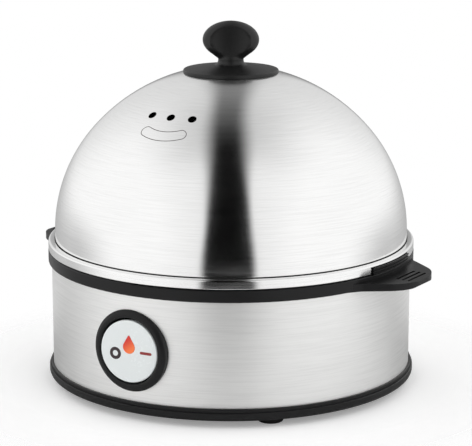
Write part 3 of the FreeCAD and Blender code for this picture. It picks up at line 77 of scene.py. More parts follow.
# %% Node helpers
def add_node(tree, kind, feeds=None, **settings):
    """A node with its settings made and its inputs fed by sockets or by plain values."""
    node = tree.nodes.new(kind)
    for name, value in settings.items():
        setattr(node, name, value)
    for name, value in (feeds or {}).items():
        if isinstance(value, bpy.types.NodeSocket):
            tree.links.new(value, node.inputs[name])
        else:
            node.inputs[name].default_value = value
    return node


def calc(tree, operation, *values):
    """The result of one Math node."""
    return add_node(tree, "ShaderNodeMath", dict(enumerate(values)), operation=operation).outputs[0]


def vector(tree, operation, *values):
    """The result of one Vector Math node: a number for a length or a dot product, else a vector."""
    names = (0, "Scale") if operation == "SCALE" else (0, 1)
    node = add_node(tree, "ShaderNodeVectorMath", dict(zip(names, values)), operation=operation)
    return node.outputs["Value" if operation in ("LENGTH", "DOT_PRODUCT") else "Vector"]


def ramp(tree, value, span, start, end):
    """A number that goes smoothly from start to end while the value goes through the span."""
    feeds = {"Value": value, "From Min": span[0], "From Max": span[1], "To Min": start, "To Max": end}
    return add_node(tree, "ShaderNodeMapRange", feeds, interpolation_type="SMOOTHSTEP").outputs[0]


def noise(tree, place, scale, detail=2.0, roughness=0.5):
    """A noise at a place, as a number."""
    feeds = {"Vector": place, "Scale": scale, "Detail": detail, "Roughness": roughness}
    return add_node(tree, "ShaderNodeTexNoise", feeds).outputs[0]


def new_finish(name):
    """A new material with its tree, its shader and the Object coordinates."""
    finish = bpy.data.materials.new(name)
    finish.use_nodes = True
    tree = finish.node_tree
    place = add_node(tree, "ShaderNodeTexCoord").outputs["Object"]
    return finish, tree, tree.nodes["Principled BSDF"], place


# %% [markdown]
# ## A white tent with a dark gap
# Polished steel shows its surroundings, so the studio matters as much as the metal. The cooker stands in
# a white tent that is open where the camera looks in. That gap makes the dark strip down the dome: it is
# widest at the floor, narrows overhead, and gets lighter behind. A span says where a change takes place,
# from -1 straight behind the cooker to 1 at the camera; the foot's span goes by height, 0 at eye level.

# %% Gap in the tent
TENT_TURN = math.radians(31.7)
GAP_MIDDLE = math.radians(-1.7)
GAP_SWERVE = math.radians(0.4)
SWERVE_SPAN = (-0.7, 0)
GAP_REAR = math.radians(6.5)
GAP_TOP = math.radians(10.6)
TOP_SPAN = (-0.5, 0.4)
GAP_FOOT = math.radians(2.3)
FOOT_SPAN = (-0.3, 0.35)
GAP_FLOOR = math.radians(4.6)
FLOOR_POWER = 3
SOFT_TOP = 0.6
SOFT_FRONT = 0.17
GAP_BACK = 0.68
DEPTH_SPAN = (-0.7, 0.3)

world = bpy.data.worlds.new("white_tent")
bpy.context.scene.world = world
world.use_nodes = True
tent = world.node_tree
direction = add_node(tent, "ShaderNodeTexCoord").outputs["Generated"]
height = add_node(tent, "ShaderNodeSeparateXYZ", {0: direction}).outputs["Z"]
to_camera = (math.sin(TENT_TURN), -math.cos(TENT_TURN), 0)
to_right = (math.cos(TENT_TURN), math.sin(TENT_TURN), 0)
toward = vector(tent, "DOT_PRODUCT", direction, to_camera)
across = vector(tent, "DOT_PRODUCT", direction, to_right)
middle = ramp(tent, toward, SWERVE_SPAN, GAP_SWERVE, GAP_MIDDLE)
lateral = calc(tent, "ABSOLUTE", calc(tent, "SUBTRACT", calc(tent, "ARCSINE", across), middle))
overhead = ramp(tent, toward, TOP_SPAN, GAP_REAR, GAP_TOP)
flared = calc(tent, "ADD", overhead, ramp(tent, height, FOOT_SPAN, GAP_FOOT, 0))
ahead = calc(tent, "POWER", calc(tent, "MAXIMUM", toward, 0), FLOOR_POWER)
half_gap = calc(tent, "ADD", calc(tent, "MULTIPLY", ahead, GAP_FLOOR), flared)
softness = ramp(tent, toward, (0, 1), SOFT_TOP, SOFT_FRONT)
soft_span = (calc(tent, "SUBTRACT", 1, softness), calc(tent, "ADD", 1, softness))
in_gap = ramp(tent, calc(tent, "DIVIDE", lateral, half_gap), soft_span, 1, 0)
depth = ramp(tent, toward, DEPTH_SPAN, GAP_BACK, 1)
open_part = calc(tent, "SUBTRACT", 1, calc(tent, "MULTIPLY", in_gap, depth))
print("gap at the floor:", round(2 * math.degrees(GAP_TOP + GAP_FLOOR + GAP_FOOT), 1), "degrees")

# %% [markdown]
# ## The light in the tent
# The cloth is not evenly white. A dusk beside the gap gives the grey on both sides of the strip, and low
# flanks towards the back darken the edges of dome and drum. Matt surfaces get a little more light than the
# steel shows: the tent is brighter for diffuse rays. The camera itself sees plain white.

# %% Light of the tent
TENT_WHITE = 1.01
TENT_BACK = 0.9
TOP_SHARE = 0.45
BACK_SPAN = (-1.05, -0.5)
DUSK_EDGE = math.radians(50)
DUSK_REAR = 0.8
DUSK_TOP = 0.62
DUSK_FRONT = 0.88
REAR_SPAN = (-0.7, -0.1)
FRONT_SPAN = (0.05, 0.6)
FLANK = 0.42
FLANK_LEVEL = (-0.22, 0.1)
FLANK_SPAN = (-0.5, 0.25)
FLANK_REAR = 0.85
FLANK_END = (-1, -0.65)
MATT_GAIN = 1.4

raised = calc(tent, "MULTIPLY", calc(tent, "MAXIMUM", height, 0), TOP_SHARE)
wall = ramp(tent, calc(tent, "SUBTRACT", toward, raised), BACK_SPAN, TENT_BACK, TENT_WHITE)
from_rear = ramp(tent, toward, REAR_SPAN, DUSK_REAR, DUSK_TOP)
beside_gap = ramp(tent, toward, FRONT_SPAN, from_rear, DUSK_FRONT)
dusk = ramp(tent, lateral, (half_gap, DUSK_EDGE), beside_gap, 1)
low = ramp(tent, height, FLANK_LEVEL, FLANK, 0)
rearmost = ramp(tent, toward, FLANK_END, FLANK_REAR, 1)
low_flank = calc(tent, "MULTIPLY", low, ramp(tent, toward, FLANK_SPAN, rearmost, 0))
flank = calc(tent, "SUBTRACT", 1, low_flank)
cloth = calc(tent, "MULTIPLY", calc(tent, "MULTIPLY", wall, flank), dusk)
studio = calc(tent, "MULTIPLY", cloth, open_part)
path = add_node(tent, "ShaderNodeLightPath").outputs
gain = ramp(tent, path["Is Diffuse Ray"], (0, 1), 1, MATT_GAIN)
lit = calc(tent, "MULTIPLY", studio, gain)
seen = add_node(tent, "ShaderNodeMix", {"Factor": path["Is Camera Ray"], "A": lit, "B": 1.0})
tent.links.new(seen.outputs[0], tent.nodes["Background"].inputs["Strength"])
tent.nodes["Background"].inputs["Color"].default_value = (1, 1, 1, 1)
print("tent nodes:", len(tent.nodes))

# %% [markdown]
# ## A round white table
# The table fades out between 12 and 19 cm from the drum, so its edge never shows. The drum shows the
# white table, and the lid's rim band, which stands higher, the dark gap beyond it. Beside the cooker,
# towards the back, the table is dimmer where steel shows it, which darkens the drum's edges. The shade
# that the cooker casts pales into the white background a few centimetres out.

# %% Table
TABLE_RADIUS = 0.27
TABLE_FADE = 0.2
TABLE_SIDES = 96
TABLE_COLOUR = (0.92, 0.92, 0.92)
TABLE_LIFT = 0.26
TABLE_DIM = 0.67
DIM_BACK = (-0.11, -0.04)
DIM_FRONT = (-0.04, 0.1)
SHADE_SPAN = (0.085, 0.15)


def as_object(name, bm):
    """A new object in the scene, with a finished bmesh as its mesh."""
    mesh = bpy.data.meshes.new(name)
    bm.to_mesh(mesh)
    bm.free()
    item = bpy.data.objects.new(name, mesh)
    bpy.context.scene.collection.objects.link(item)
    return item


bm = bmesh.new()
bmesh.ops.create_circle(bm, cap_ends=True, segments=TABLE_SIDES, radius=TABLE_RADIUS)
table = as_object("table", bm)
white = bpy.data.materials.new("table_white")
white.use_nodes = True
tree = white.node_tree
tree.nodes.remove(tree.nodes["Principled BSDF"])
spot = add_node(tree, "ShaderNodeTexCoord").outputs["Object"]
far = vector(tree, "LENGTH", spot)
path = add_node(tree, "ShaderNodeLightPath").outputs
ended = ramp(tree, far, (TABLE_FADE, TABLE_RADIUS), 0, 1)
paled = calc(tree, "MULTIPLY", path["Is Camera Ray"], ramp(tree, far, SHADE_SPAN, 0, 1))
gone = calc(tree, "MAXIMUM", ended, paled)
nearer = vector(tree, "DOT_PRODUCT", spot, to_camera)
dim = ramp(tree, nearer, DIM_FRONT, ramp(tree, nearer, DIM_BACK, 0, TABLE_DIM), 0)
kept = calc(tree, "SUBTRACT", 1, calc(tree, "MULTIPLY", path["Is Glossy Ray"], dim))
shown = vector(tree, "SCALE", TABLE_COLOUR, kept)
matt = add_node(tree, "ShaderNodeBsdfDiffuse", {"Color": shown}).outputs[0]
lift = calc(tree, "MULTIPLY", path["Is Camera Ray"], TABLE_LIFT)
glow = add_node(tree, "ShaderNodeEmission", {"Strength": lift}).outputs[0]
lit = add_node(tree, "ShaderNodeAddShader", {0: matt, 1: glow}).outputs[0]
clear = add_node(tree, "ShaderNodeBsdfTransparent").outputs[0]
top = add_node(tree, "ShaderNodeMixShader", {0: gone, 1: lit, 2: clear}).outputs[0]
tree.links.new(top, tree.nodes["Material Output"].inputs["Surface"])
table.data.materials.append(white)
print("table radius", TABLE_RADIUS)

# %% [markdown]
# ## Brushed and spun steel
# The sheet is brushed round the axis. Such grooves spread a reflection up and down and leave it sharp
# sideways, which is anisotropy with the tangent turned by a quarter. Fine streaks that run round the
# piece come from noise that is stretched along the grooves: its place is the direction round the axis,
# which has no seam, and the height less the radius, which changes both up a wall and over the crown.

# %% Steel
AROUND_SCALE = 3.0
STREAK_NOISE = {"scale": 1.0, "detail": 4.0, "roughness": 0.65}
STREAK_SPAN = (0.3, 0.62)
STREAK_DARK = 0.93
CLOUD_SCALE = 38.0
GLOSS_SWING = 0.1
QUARTER_TURN = 0.25


def steel(name, colour, roughness, streak, lift, anisotropy):
    """Steel brushed round the upright axis, with streaks of the given width and height in metres."""
    metal, tree, shader, place = new_finish(name)
    flat = vector(tree, "MULTIPLY", place, (1, 1, 0))
    height = add_node(tree, "ShaderNodeSeparateXYZ", {0: place}).outputs["Z"]
    along = calc(tree, "DIVIDE", calc(tree, "SUBTRACT", height, vector(tree, "LENGTH", flat)), streak)
    fine = add_node(tree, "ShaderNodeCombineXYZ", {"Z": along}).outputs[0]
    wide = vector(tree, "SCALE", vector(tree, "NORMALIZE", flat), AROUND_SCALE)
    lines = noise(tree, vector(tree, "ADD", fine, wide), **STREAK_NOISE)
    cloud = noise(tree, place, CLOUD_SCALE)
    dark = tuple(STREAK_DARK * part for part in colour[:3]) + (1,)
    pale = ramp(tree, lines, STREAK_SPAN, 0, 1)
    tint = add_node(tree, "ShaderNodeMix", {"Factor": pale, "A": dark, "B": colour}, data_type="RGBA")
    swing = calc(tree, "SUBTRACT", calc(tree, "ADD", lines, cloud), 1.0)
    shift = calc(tree, "MULTIPLY", swing, GLOSS_SWING)
    bump = add_node(tree, "ShaderNodeBump", {"Height": lines, "Strength": 1.0, "Distance": lift})
    tangent = add_node(tree, "ShaderNodeTangent", direction_type="RADIAL", axis="Z")
    tree.links.new(tint.outputs["Result"], shader.inputs["Base Color"])
    tree.links.new(calc(tree, "ADD", shift, roughness), shader.inputs["Roughness"])
    tree.links.new(bump.outputs[0], shader.inputs["Normal"])
    tree.links.new(tangent.outputs[0], shader.inputs["Tangent"])
    shader.inputs["Metallic"].default_value = 1.0
    shader.inputs["Anisotropic"].default_value = anisotropy
    shader.inputs["Anisotropic Rotation"].default_value = QUARTER_TURN
    return metal


# Each line gives the name, colour, roughness, streak width, streak height and anisotropy.
lid_steel = steel("lid_spun_steel", (0.95, 0.95, 0.945, 1), 0.15, 0.0005, 0.0000005, 0.7)
drum_steel = steel("drum_brushed_steel", (0.95, 0.95, 0.94, 1), 0.48, 0.0005, 0.0000013, 0.45)
bowl_steel = steel("bowl_pressed_steel", (0.8, 0.8, 0.79, 1), 0.22, 0.0016, 0.000001, 0.4)
print("steels:", lid_steel.name, drum_steel.name, bowl_steel.name)

# %% [markdown]
# ## Moulded, rubbery and cast finishes
# The other finishes share one recipe. A noise at the size of the real grain moves the colour and the
# roughness a little and lifts the surface by microns; a second, broader noise keeps large faces from
# looking dead flat. What differs is colour, gloss, grain and whether it is metal.

# %% Grained finishes
BROAD_SCALE = 60.0
BROAD_DETAIL = 3.0
GRAIN_SPAN = (0.25, 0.75)
ROUGH_SWING = 0.05


def grained(name, colour, roughness, grain, lift, metallic=0.0, gloss=0.5, spread=0.25):
    """A finish whose grain has the given size and height in metres."""
    finish, tree, shader, place = new_finish(name)
    small = noise(tree, place, 1 / grain)
    broad = noise(tree, place, BROAD_SCALE, BROAD_DETAIL)
    mixed = calc(tree, "MULTIPLY", calc(tree, "ADD", small, broad), 0.5)
    dark = tuple((1 - spread) * part for part in colour[:3]) + (1,)
    pale = tuple(min(1.0, (1 + spread) * part) for part in colour[:3]) + (1,)
    tint = add_node(tree, "ShaderNodeMix", {"Factor": mixed, "A": dark, "B": pale}, data_type="RGBA")
    rough = ramp(tree, mixed, GRAIN_SPAN, roughness - ROUGH_SWING, roughness + ROUGH_SWING)
    bump = add_node(tree, "ShaderNodeBump", {"Height": small, "Strength": 1.0, "Distance": lift})
    tree.links.new(tint.outputs["Result"], shader.inputs["Base Color"])
    tree.links.new(rough, shader.inputs["Roughness"])
    tree.links.new(bump.outputs[0], shader.inputs["Normal"])
    shader.inputs["Metallic"].default_value = metallic
    shader.inputs["Specular IOR Level"].default_value = gloss
    return finish


# Each line gives the name, colour, roughness, grain size and grain height.
black = grained("black_moulding", (0.0085, 0.0085, 0.009, 1), 0.38, 0.0006, 0.00001, gloss=0.24)
satin = grained("knob_moulding", (0.007, 0.007, 0.007, 1), 0.42, 0.0005, 0.00001, gloss=0.42)
rubber = grained("black_rubber", (0.011, 0.011, 0.011, 1), 0.7, 0.0005, 0.00002, gloss=0.2)
silicone = grained("grey_silicone", (0.55, 0.55, 0.53, 1), 0.6, 0.0008, 0.00001)
cap_white = grained("rocker_white", (0.84, 0.88, 0.88, 1), 0.25, 0.0012, 0.000002, spread=0.02)
cast_grey = grained("cast_aluminium", (0.6, 0.6, 0.61, 1), 0.5, 0.0007, 0.00003, metallic=1.0)
sheath = grained("heater_sheath", (0.2, 0.19, 0.18, 1), 0.5, 0.0009, 0.00001, metallic=1.0)
ceramic = grained("glazed_ceramic", (0.82, 0.8, 0.74, 1), 0.3, 0.002, 0.00001, spread=0.05)
zinc = grained("zinc_plate", (0.62, 0.63, 0.66, 1), 0.32, 0.0006, 0.000004, metallic=1.0)
bright = grained("bright_metal", (0.7, 0.7, 0.72, 1), 0.25, 0.0008, 0.000004, metallic=1.0)
braid = grained("glass_braid", (0.5, 0.48, 0.44, 1), 0.8, 0.0004, 0.00006)
brass = grained("insert_brass", (0.72, 0.56, 0.28, 1), 0.35, 0.0005, 0.00002, metallic=1.0)
print("grained finishes from", black.name, "to", brass.name)

# %% [markdown]
# ## The lit drop
# The drop is a red tinted window with a small lamp behind it. The lamp is not lit in the scene: its light is
# painted into the drop as a glow, red at its tip and left side and orange where the lamp is nearest. A
# gradient across the drop gives both its colour and this painted glow.

# %% Drop lens
PIVOT = Vector((0, -0.0775, 0.03005))
DROP_RIGHT = 0.0005
DROP_RISE = 0.0028
LEAN_X = 0.6
LEAN_Z = -0.8
RED_REACH = 0.0028
ORANGE_REACH = 0.0034
DROP_RED = (0.6, 0.03, 0.02, 1)
LAMP_GLOW_ORANGE = (0.86, 0.19, 0.05, 1)
DROP_ROUGHNESS = 0.22
PAINTED_LAMP_GLOW = 0.2
lens_red, tree, shader, place = new_finish("lens_red")
slant = vector(tree, "DOT_PRODUCT", place, (LEAN_X, 0, LEAN_Z))
middle = LEAN_X * DROP_RIGHT + LEAN_Z * (PIVOT.z + DROP_RISE)
lamp_glow_mask = ramp(tree, slant, (middle - RED_REACH, middle + ORANGE_REACH), 0, 1)
feeds = {"Factor": lamp_glow_mask, "A": DROP_RED, "B": LAMP_GLOW_ORANGE}
tint = add_node(tree, "ShaderNodeMix", feeds, data_type="RGBA").outputs["Result"]
tree.links.new(tint, shader.inputs["Base Color"])
# Painted lamp light: the drop itself glows with its tint, orange nearest the lamp.
tree.links.new(tint, shader.inputs["Emission Color"])
shader.inputs["Emission Strength"].default_value = PAINTED_LAMP_GLOW
shader.inputs["Roughness"].default_value = DROP_ROUGHNESS
print("drop glow", PAINTED_LAMP_GLOW)

# %% Lamp glass
RIPPLE_SCALE = 900.0
RIPPLE_SPAN = (0.3, 0.7)
LAMP_ROUGHNESS = (0.05, 0.12)
LAMP_TINT = (1, 0.6, 0.4, 1)
LAMP_CLEAR = 0.8
lamp_glass, tree, shader, place = new_finish("lamp_glass")
ripple = ramp(tree, noise(tree, place, RIPPLE_SCALE), RIPPLE_SPAN, *LAMP_ROUGHNESS)
tree.links.new(ripple, shader.inputs["Roughness"])
shader.inputs["Base Color"].default_value = LAMP_TINT
shader.inputs["Transmission Weight"].default_value = LAMP_CLEAR
print("lamp clearness", LAMP_CLEAR)

# %% [markdown]
# ## Dressing the CAD nodes
# Most nodes already have their true shape, so they stay and only get a better finish.

# %% Finishes of the nodes
FINISHES = {
    black: ["base_pan", "upper_ring", "switch_bezel", "egg_tray", "switch_module"],
    satin: ["lid_knob"],
    drum_steel: ["steel_sleeve"],
    lid_steel: ["lid_dome"],
    bowl_steel: ["heating_bowl"],
    cap_white: ["rocker_cap"],
    lens_red: ["drop_lens"],
    rubber: ["rubber_feet", "cord_gland"],
    silicone: ["bowl_seal", "knob_washer"],
    cast_grey: ["heater_plate"],
    sheath: ["heater_tube"],
    ceramic: ["heater_terminals", "thermostat", "terminal_block"],
    zinc: [
        "base_screws",
        "thermostat_bracket",
        "fuse_saddle",
        "bracket_screws",
        "clamp_strap",
        "strap_screws",
        "stud_nut",
        "rocker_pins",
        "knob_screw",
    ],
    bright: ["thermal_fuse"],
    lamp_glass: ["indicator_lamp"],
    braid: ["lead_wires"],
    brass: ["knob_insert"],
}
for finish, names in FINISHES.items():
    for name in names:
        nodes[name].data.materials.clear()
        nodes[name].data.materials.append(finish)
print("dressed nodes:", sum(len(names) for names in FINISHES.values()))

# %% [markdown]
# ## Spinning sheet metal
# The lid is spun from one disc, so its shape is one half section turned about the axis. The section is a
# closed loop of points: out along the rim band, over the ledge, up the dome and back down its inside.
# Spin turns it, and a merge closes the seam and the pole.

# %% Spin helpers
TURN_STEPS = 288
WELD = 1e-7


def arc(middle, radius, start, end, steps):
    """Points on an arc of the half section, from one angle to the other in degrees."""
    points = []
    for step in range(steps + 1):
        angle = math.radians(start + (end - start) * step / steps)
        points.append((middle[0] + radius * math.cos(angle), middle[1] + radius * math.sin(angle)))
    return points


def spin(name, section, steps=TURN_STEPS):
    """The closed half section turned once about the upright axis."""
    bm = bmesh.new()
    corners = [bm.verts.new((max(radius, 0), 0, height)) for radius, height in section]
    edges = [bm.edges.new((a, b)) for a, b in zip(corners, corners[1:] + corners[:1])]
    geometry = corners + edges
    bmesh.ops.spin(bm, geom=geometry, axis=(0, 0, 1), cent=(0, 0, 0), angle=2 * math.pi, steps=steps)
    bmesh.ops.remove_doubles(bm, verts=bm.verts, dist=WELD)
    bmesh.ops.dissolve_degenerate(bm, edges=bm.edges, dist=WELD)
    bmesh.ops.recalc_face_normals(bm, faces=bm.faces)
    return as_object(name, bm)


# %% [markdown]
# ## Cutting and finishing
# Holes are drilled with Boolean modifiers, which are applied at once, so every finished piece is a plain
# mesh. A finished piece gets smooth faces with sharp edges, a material, the body that it moves with, and
# the CAD nodes that it stands for.

# %% Cutting helpers
ROD_SIDES = 48


def apply_modifiers(item):
    """Turn what the modifiers of an item make into its plain mesh."""
    bpy.context.view_layer.update()
    made = bpy.data.meshes.new_from_object(item.evaluated_get(bpy.context.evaluated_depsgraph_get()))
    item.modifiers.clear()
    item.data = made


def cut(item, *tools):
    """Cut the tools out of an item, apply the cuts, and remove the tools."""
    for tool in tools:
        step = item.modifiers.new("cut", "BOOLEAN")
        step.operation = "DIFFERENCE"
        step.solver = "EXACT"
        step.object = tool
    apply_modifiers(item)
    for tool in tools:
        bpy.data.objects.remove(tool)


def rod(name, radius, length, place):
    """A cylinder along its own Z, set in place by a matrix."""
    bm = bmesh.new()
    bmesh.ops.create_cone(bm, cap_ends=True, segments=ROD_SIDES, radius1=radius, radius2=radius, depth=length)
    bmesh.ops.transform(bm, matrix=place, verts=bm.verts)
    return as_object(name, bm)


def block(name, low, high):
    """A box between two corners."""
    bm = bmesh.new()
    bmesh.ops.create_cube(bm, size=1)
    low, high = Vector(low), Vector(high)
    fit = Matrix.Translation((low + high) / 2) @ Matrix.Diagonal((*(high - low), 1))
    bmesh.ops.transform(bm, matrix=fit, verts=bm.verts)
    return as_object(name, bm)


# %% Finishing helpers
SHARP = math.radians(32)


def shade(item):
    """Smooth faces, with a sharp edge wherever two faces meet at a clear angle."""
    bm = bmesh.new()
    bm.from_mesh(item.data)
    for face in bm.faces:
        face.smooth = True
    for edge in bm.edges:
        edge.smooth = edge.calc_face_angle(math.pi) < SHARP
    bm.to_mesh(item.data)
    bm.free()


def finish_piece(item, material, body, slot, *replaced):
    """Give a finished piece its material, its body and the nodes that it stands for; the slot is not used."""
    item.data.materials.clear()
    item.data.materials.append(material)
    shade(item)
    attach(item, body)
    if replaced:
        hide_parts(*replaced)
    print(item.name, "faces:", len(item.data.polygons))


# %% [markdown]
# ## The lid
# Two arcs that meet smoothly make the dome: a shoulder that starts upright above the ledge, and a crown.
# The rim band has a point close to each of its rounded edges, which keeps its shading flat between them.

# %% Lid
LID_WALL = 0.0007
BAND_RADIUS = 0.0814
BAND_LOW = 0.0597
LEDGE = 0.0637
EDGE_ROUND = 0.0009
DOME_RADIUS = 0.07835
DOME_FOOT = 0.067
DOME_RISE = 0.073
SHOULDER = 40.0
HEM = 0.00022
HOLD = 0.00008
HEM_STEPS = 4
EDGE_STEPS = 8
INNER_STEPS = 3
SHOULDER_STEPS = 48
CROWN_STEPS = 72
sine = math.sin(math.radians(SHOULDER))
cosine = math.cos(math.radians(SHOULDER))
spare = 1 - cosine - sine
SHOULDER_ARC = (DOME_RADIUS * (1 - sine) - DOME_RISE * cosine) / spare
CROWN_ARC = (DOME_RISE * (1 - cosine) - DOME_RADIUS * sine) / spare
CROWN_MIDDLE = DOME_FOOT + DOME_RISE - CROWN_ARC

shoulder_at = (DOME_RADIUS - SHOULDER_ARC, DOME_FOOT)
crown_at = (0, CROWN_MIDDLE)
band_at = (BAND_RADIUS - EDGE_ROUND, LEDGE - EDGE_ROUND)
foot_at = (DOME_RADIUS + EDGE_ROUND, LEDGE + EDGE_ROUND)
crease_at = (DOME_RADIUS, LEDGE)
outside = arc((BAND_RADIUS - HEM, BAND_LOW + HEM), HEM, -90, 0, HEM_STEPS)
outside += [(BAND_RADIUS, BAND_LOW + HEM + HOLD), (BAND_RADIUS, LEDGE - EDGE_ROUND - HOLD)]
outside += arc(band_at, EDGE_ROUND, 0, 90, EDGE_STEPS)
outside += [crease_at]
outside += arc(shoulder_at, SHOULDER_ARC, 0, SHOULDER, SHOULDER_STEPS)
outside += arc(crown_at, CROWN_ARC, SHOULDER, 90, CROWN_STEPS)[1:]
inside = arc(crown_at, CROWN_ARC - LID_WALL, 90, SHOULDER, CROWN_STEPS // 2)
inside += arc(shoulder_at, SHOULDER_ARC - LID_WALL, SHOULDER, 0, SHOULDER_STEPS // 2)[1:]
inside += arc(foot_at, EDGE_ROUND + LID_WALL, 180, 270, EDGE_STEPS)
inside += arc(band_at, EDGE_ROUND - LID_WALL, 90, 0, INNER_STEPS)
inside += [(BAND_RADIUS - LID_WALL, BAND_LOW)]
lid = spin("lid_shell", outside + inside)
print("dome arcs:", round(SHOULDER_ARC, 4), round(CROWN_ARC, 4))

# %% [markdown]
# ## Openings in the lid
# Three steam holes are drilled square to the crown on the switch side, and two notches in the rim band
# let the tray's tabs out.

# %% Steam holes and notches
STEAM_RING = 0.0482
STEAM_RADIUS = 0.0019
STEAM_STEP = 12.0
STEAM_DRILL = 0.01
NOTCH_HALF = 0.0166
NOTCH_LOW = 0.055
NOTCH_TOP = 0.06275
NOTCH_IN = 0.07
NOTCH_OUT = 0.09


def on_crown(turn, tilt, reach):
    """A frame whose Z leaves the crown's middle: tilted towards the switch, then turned."""
    aim = Matrix.Rotation(math.radians(turn), 4, "Z") @ Matrix.Rotation(tilt, 4, "X")
    return Matrix.Translation((0, 0, CROWN_MIDDLE)) @ aim @ Matrix.Translation((0, 0, reach))


lean = math.asin(STEAM_RING / CROWN_ARC)
holes = []
for turn in (-STEAM_STEP, 0, STEAM_STEP):
    holes.append(rod("steam_cut", STEAM_RADIUS, STEAM_DRILL, on_crown(turn, lean, CROWN_ARC)))
for side in (-1, 1):
    inner, outer = sorted((side * NOTCH_IN, side * NOTCH_OUT))
    holes.append(block("notch_cut", (inner, -NOTCH_HALF, NOTCH_LOW), (outer, NOTCH_HALF, NOTCH_TOP)))
cut(lid, *holes)
finish_piece(lid, lid_steel, "lid", "lid_steel", "lid_dome")

# %% [markdown]
# ## Painted shade under the dome
# A thin dark ring of painted shade lies in the crease where the dome rises from the ledge. It stands for the
# shadow of the gap between dome and ledge. It is thinner than a match, yet it draws the line round the foot
# of the dome.

# %% Painted shade ring
GAP_SHADE = 0.0002
GAP_SHADE_SIDES = 16
GAP_SHADE_SET = 0.6 * GAP_SHADE
gap_shade_at = (DOME_RADIUS + GAP_SHADE_SET, LEDGE + GAP_SHADE_SET)
# Painted shade: this dark ring stands for the shadow in the gap at the dome's foot.
gap_shade_ring = spin("lid_gap_shade", arc(gap_shade_at, GAP_SHADE, 0, 360 - 360 / GAP_SHADE_SIDES, GAP_SHADE_SIDES - 1))
finish_piece(gap_shade_ring, rubber, "lid", "black_rubber")

# %% [markdown]
# ## A bare plate outline on the dome
# Below the steam holes a fine line frames a curved, empty field. It is printed, so it is a closed strip that
# stands a few hundredths of a millimetre proud. The line is drawn in a flat field first, then laid on the
# crown: one way runs round the axis, the other down the dome.

# %% Outline on the dome
FIELD_HALF = 0.0091
FIELD_ROUND = 0.0024
FIELD_BEND = 0.026
FIELD_LEAN = math.radians(43.6)
FIELD_TURN = math.radians(0.25)
FIELD_STEPS = 24
LINE_HALF = 0.00014
LINE_LIFT = 0.00003
INK = (0.035, 0.02, 0.022, 1)
INK_LOOK = (0.5, 0.0004, 0.000002)


def on_dome(x, y, lift):
    """The point on the crown that lies x round the axis and y up from the middle of the field."""
    drop = FIELD_LEAN - y / CROWN_ARC
    turn = FIELD_TURN + x / (CROWN_ARC * math.sin(FIELD_LEAN))
    reach = (CROWN_ARC + lift) * math.sin(drop)
    rise = (CROWN_ARC + lift) * math.cos(drop)
    return Vector((reach * math.sin(turn), -reach * math.cos(turn), CROWN_MIDDLE + rise))


def field_loop(room):
    """A long field with round ends, bent upwards at both ends and grown by some room."""
    loop = []
    for end, start in ((1, -90), (-1, 90)):
        for step in range(FIELD_STEPS + 1):
            angle = math.radians(start + 180 * step / FIELD_STEPS)
            x = end * FIELD_HALF + (FIELD_ROUND + room) * math.cos(angle)
            loop.append((x, (FIELD_ROUND + room) * math.sin(angle)))
        for step in range(1, FIELD_STEPS):
            loop.append((end * FIELD_HALF * (1 - 2 * step / FIELD_STEPS), end * (FIELD_ROUND + room)))
    bent = []
    for x, y in loop:
        angle = x / FIELD_BEND
        reach = FIELD_BEND - y
        bent.append((reach * math.sin(angle), FIELD_BEND - reach * math.cos(angle)))
    return bent


def join_loops(bm, low, high):
    """A ring of faces between two closed loops of as many points."""
    for step in range(len(low)):
        after = (step + 1) % len(low)
        bm.faces.new((low[step], low[after], high[after], high[step]))


def strip(name, inner, outer, lay, lift):
    """A closed printed strip between two loops of as many points, laid on a surface."""
    bm = bmesh.new()
    rims = []
    for loop, level in ((inner, -lift), (outer, -lift), (outer, lift), (inner, lift)):
        rims.append([bm.verts.new(lay(x, y, level)) for x, y in loop])
    for low, high in zip(rims, rims[1:] + rims[:1]):
        join_loops(bm, low, high)
    bmesh.ops.recalc_face_normals(bm, faces=bm.faces)
    return as_object(name, bm)


ink = grained("print_dark", INK, *INK_LOOK)
field = strip("lid_field_line", field_loop(-LINE_HALF), field_loop(LINE_HALF), on_dome, LINE_LIFT)
finish_piece(field, ink, "lid", "lid_steel")

# %% [markdown]
# ## The knob
# The knob is one moulding: a flange hollowed to the dome, a round neck, and a flattened head with a thumb
# dish in each face. Such a form runs softly from piece to piece, so it is made of rings: every ring asks how
# far out the neck and the head reach in each direction, and a rounded maximum blends the two. The dishes
# are a rounded minimum with the hollow of an egg-shaped cutter.

# %% Reach of the knob
HEAD_MIDDLE = 0.1517
HEAD_HALF = (0.0124, 0.0075, 0.0083)
DISH_HALF = (0.0185, 0.012, 0.0165)
DISH_OUT = 0.0158
DISH_SOFT = 0.0008
NECK = 0.0056
NECK_ROUND = 0.1433
NECK_END = 0.147
BLEND_WIDE = 0.0048
BLEND_THIN = 0.0015
SEAT_GAP = 0.0001


def blend(first, second, room):
    """The greater of two lengths, rounded off where they are nearly the same."""
    share = min(max(0.5 + 0.5 * (second - first) / room, 0), 1)
    return first * (1 - share) + second * share + room * share * (1 - share)


def head_reach(height, wide, thin):
    """How far the dished head reaches at a height, in the direction with those two parts."""
    drop = height - HEAD_MIDDLE
    level = max(1 - (drop / HEAD_HALF[2]) ** 2, 0)
    egg = math.sqrt(level / ((wide / HEAD_HALF[0]) ** 2 + (thin / HEAD_HALF[1]) ** 2))
    square = (wide / DISH_HALF[0]) ** 2 + (thin / DISH_HALF[1]) ** 2
    half = abs(thin) * DISH_OUT / DISH_HALF[1] ** 2
    rest = (DISH_OUT / DISH_HALF[1]) ** 2 + (drop / DISH_HALF[2]) ** 2 - 1
    inside = half ** 2 - square * rest
    if inside <= 0:
        return egg
    dish = (half - math.sqrt(inside)) / square
    return max(-blend(-egg, -dish, DISH_SOFT), 0)


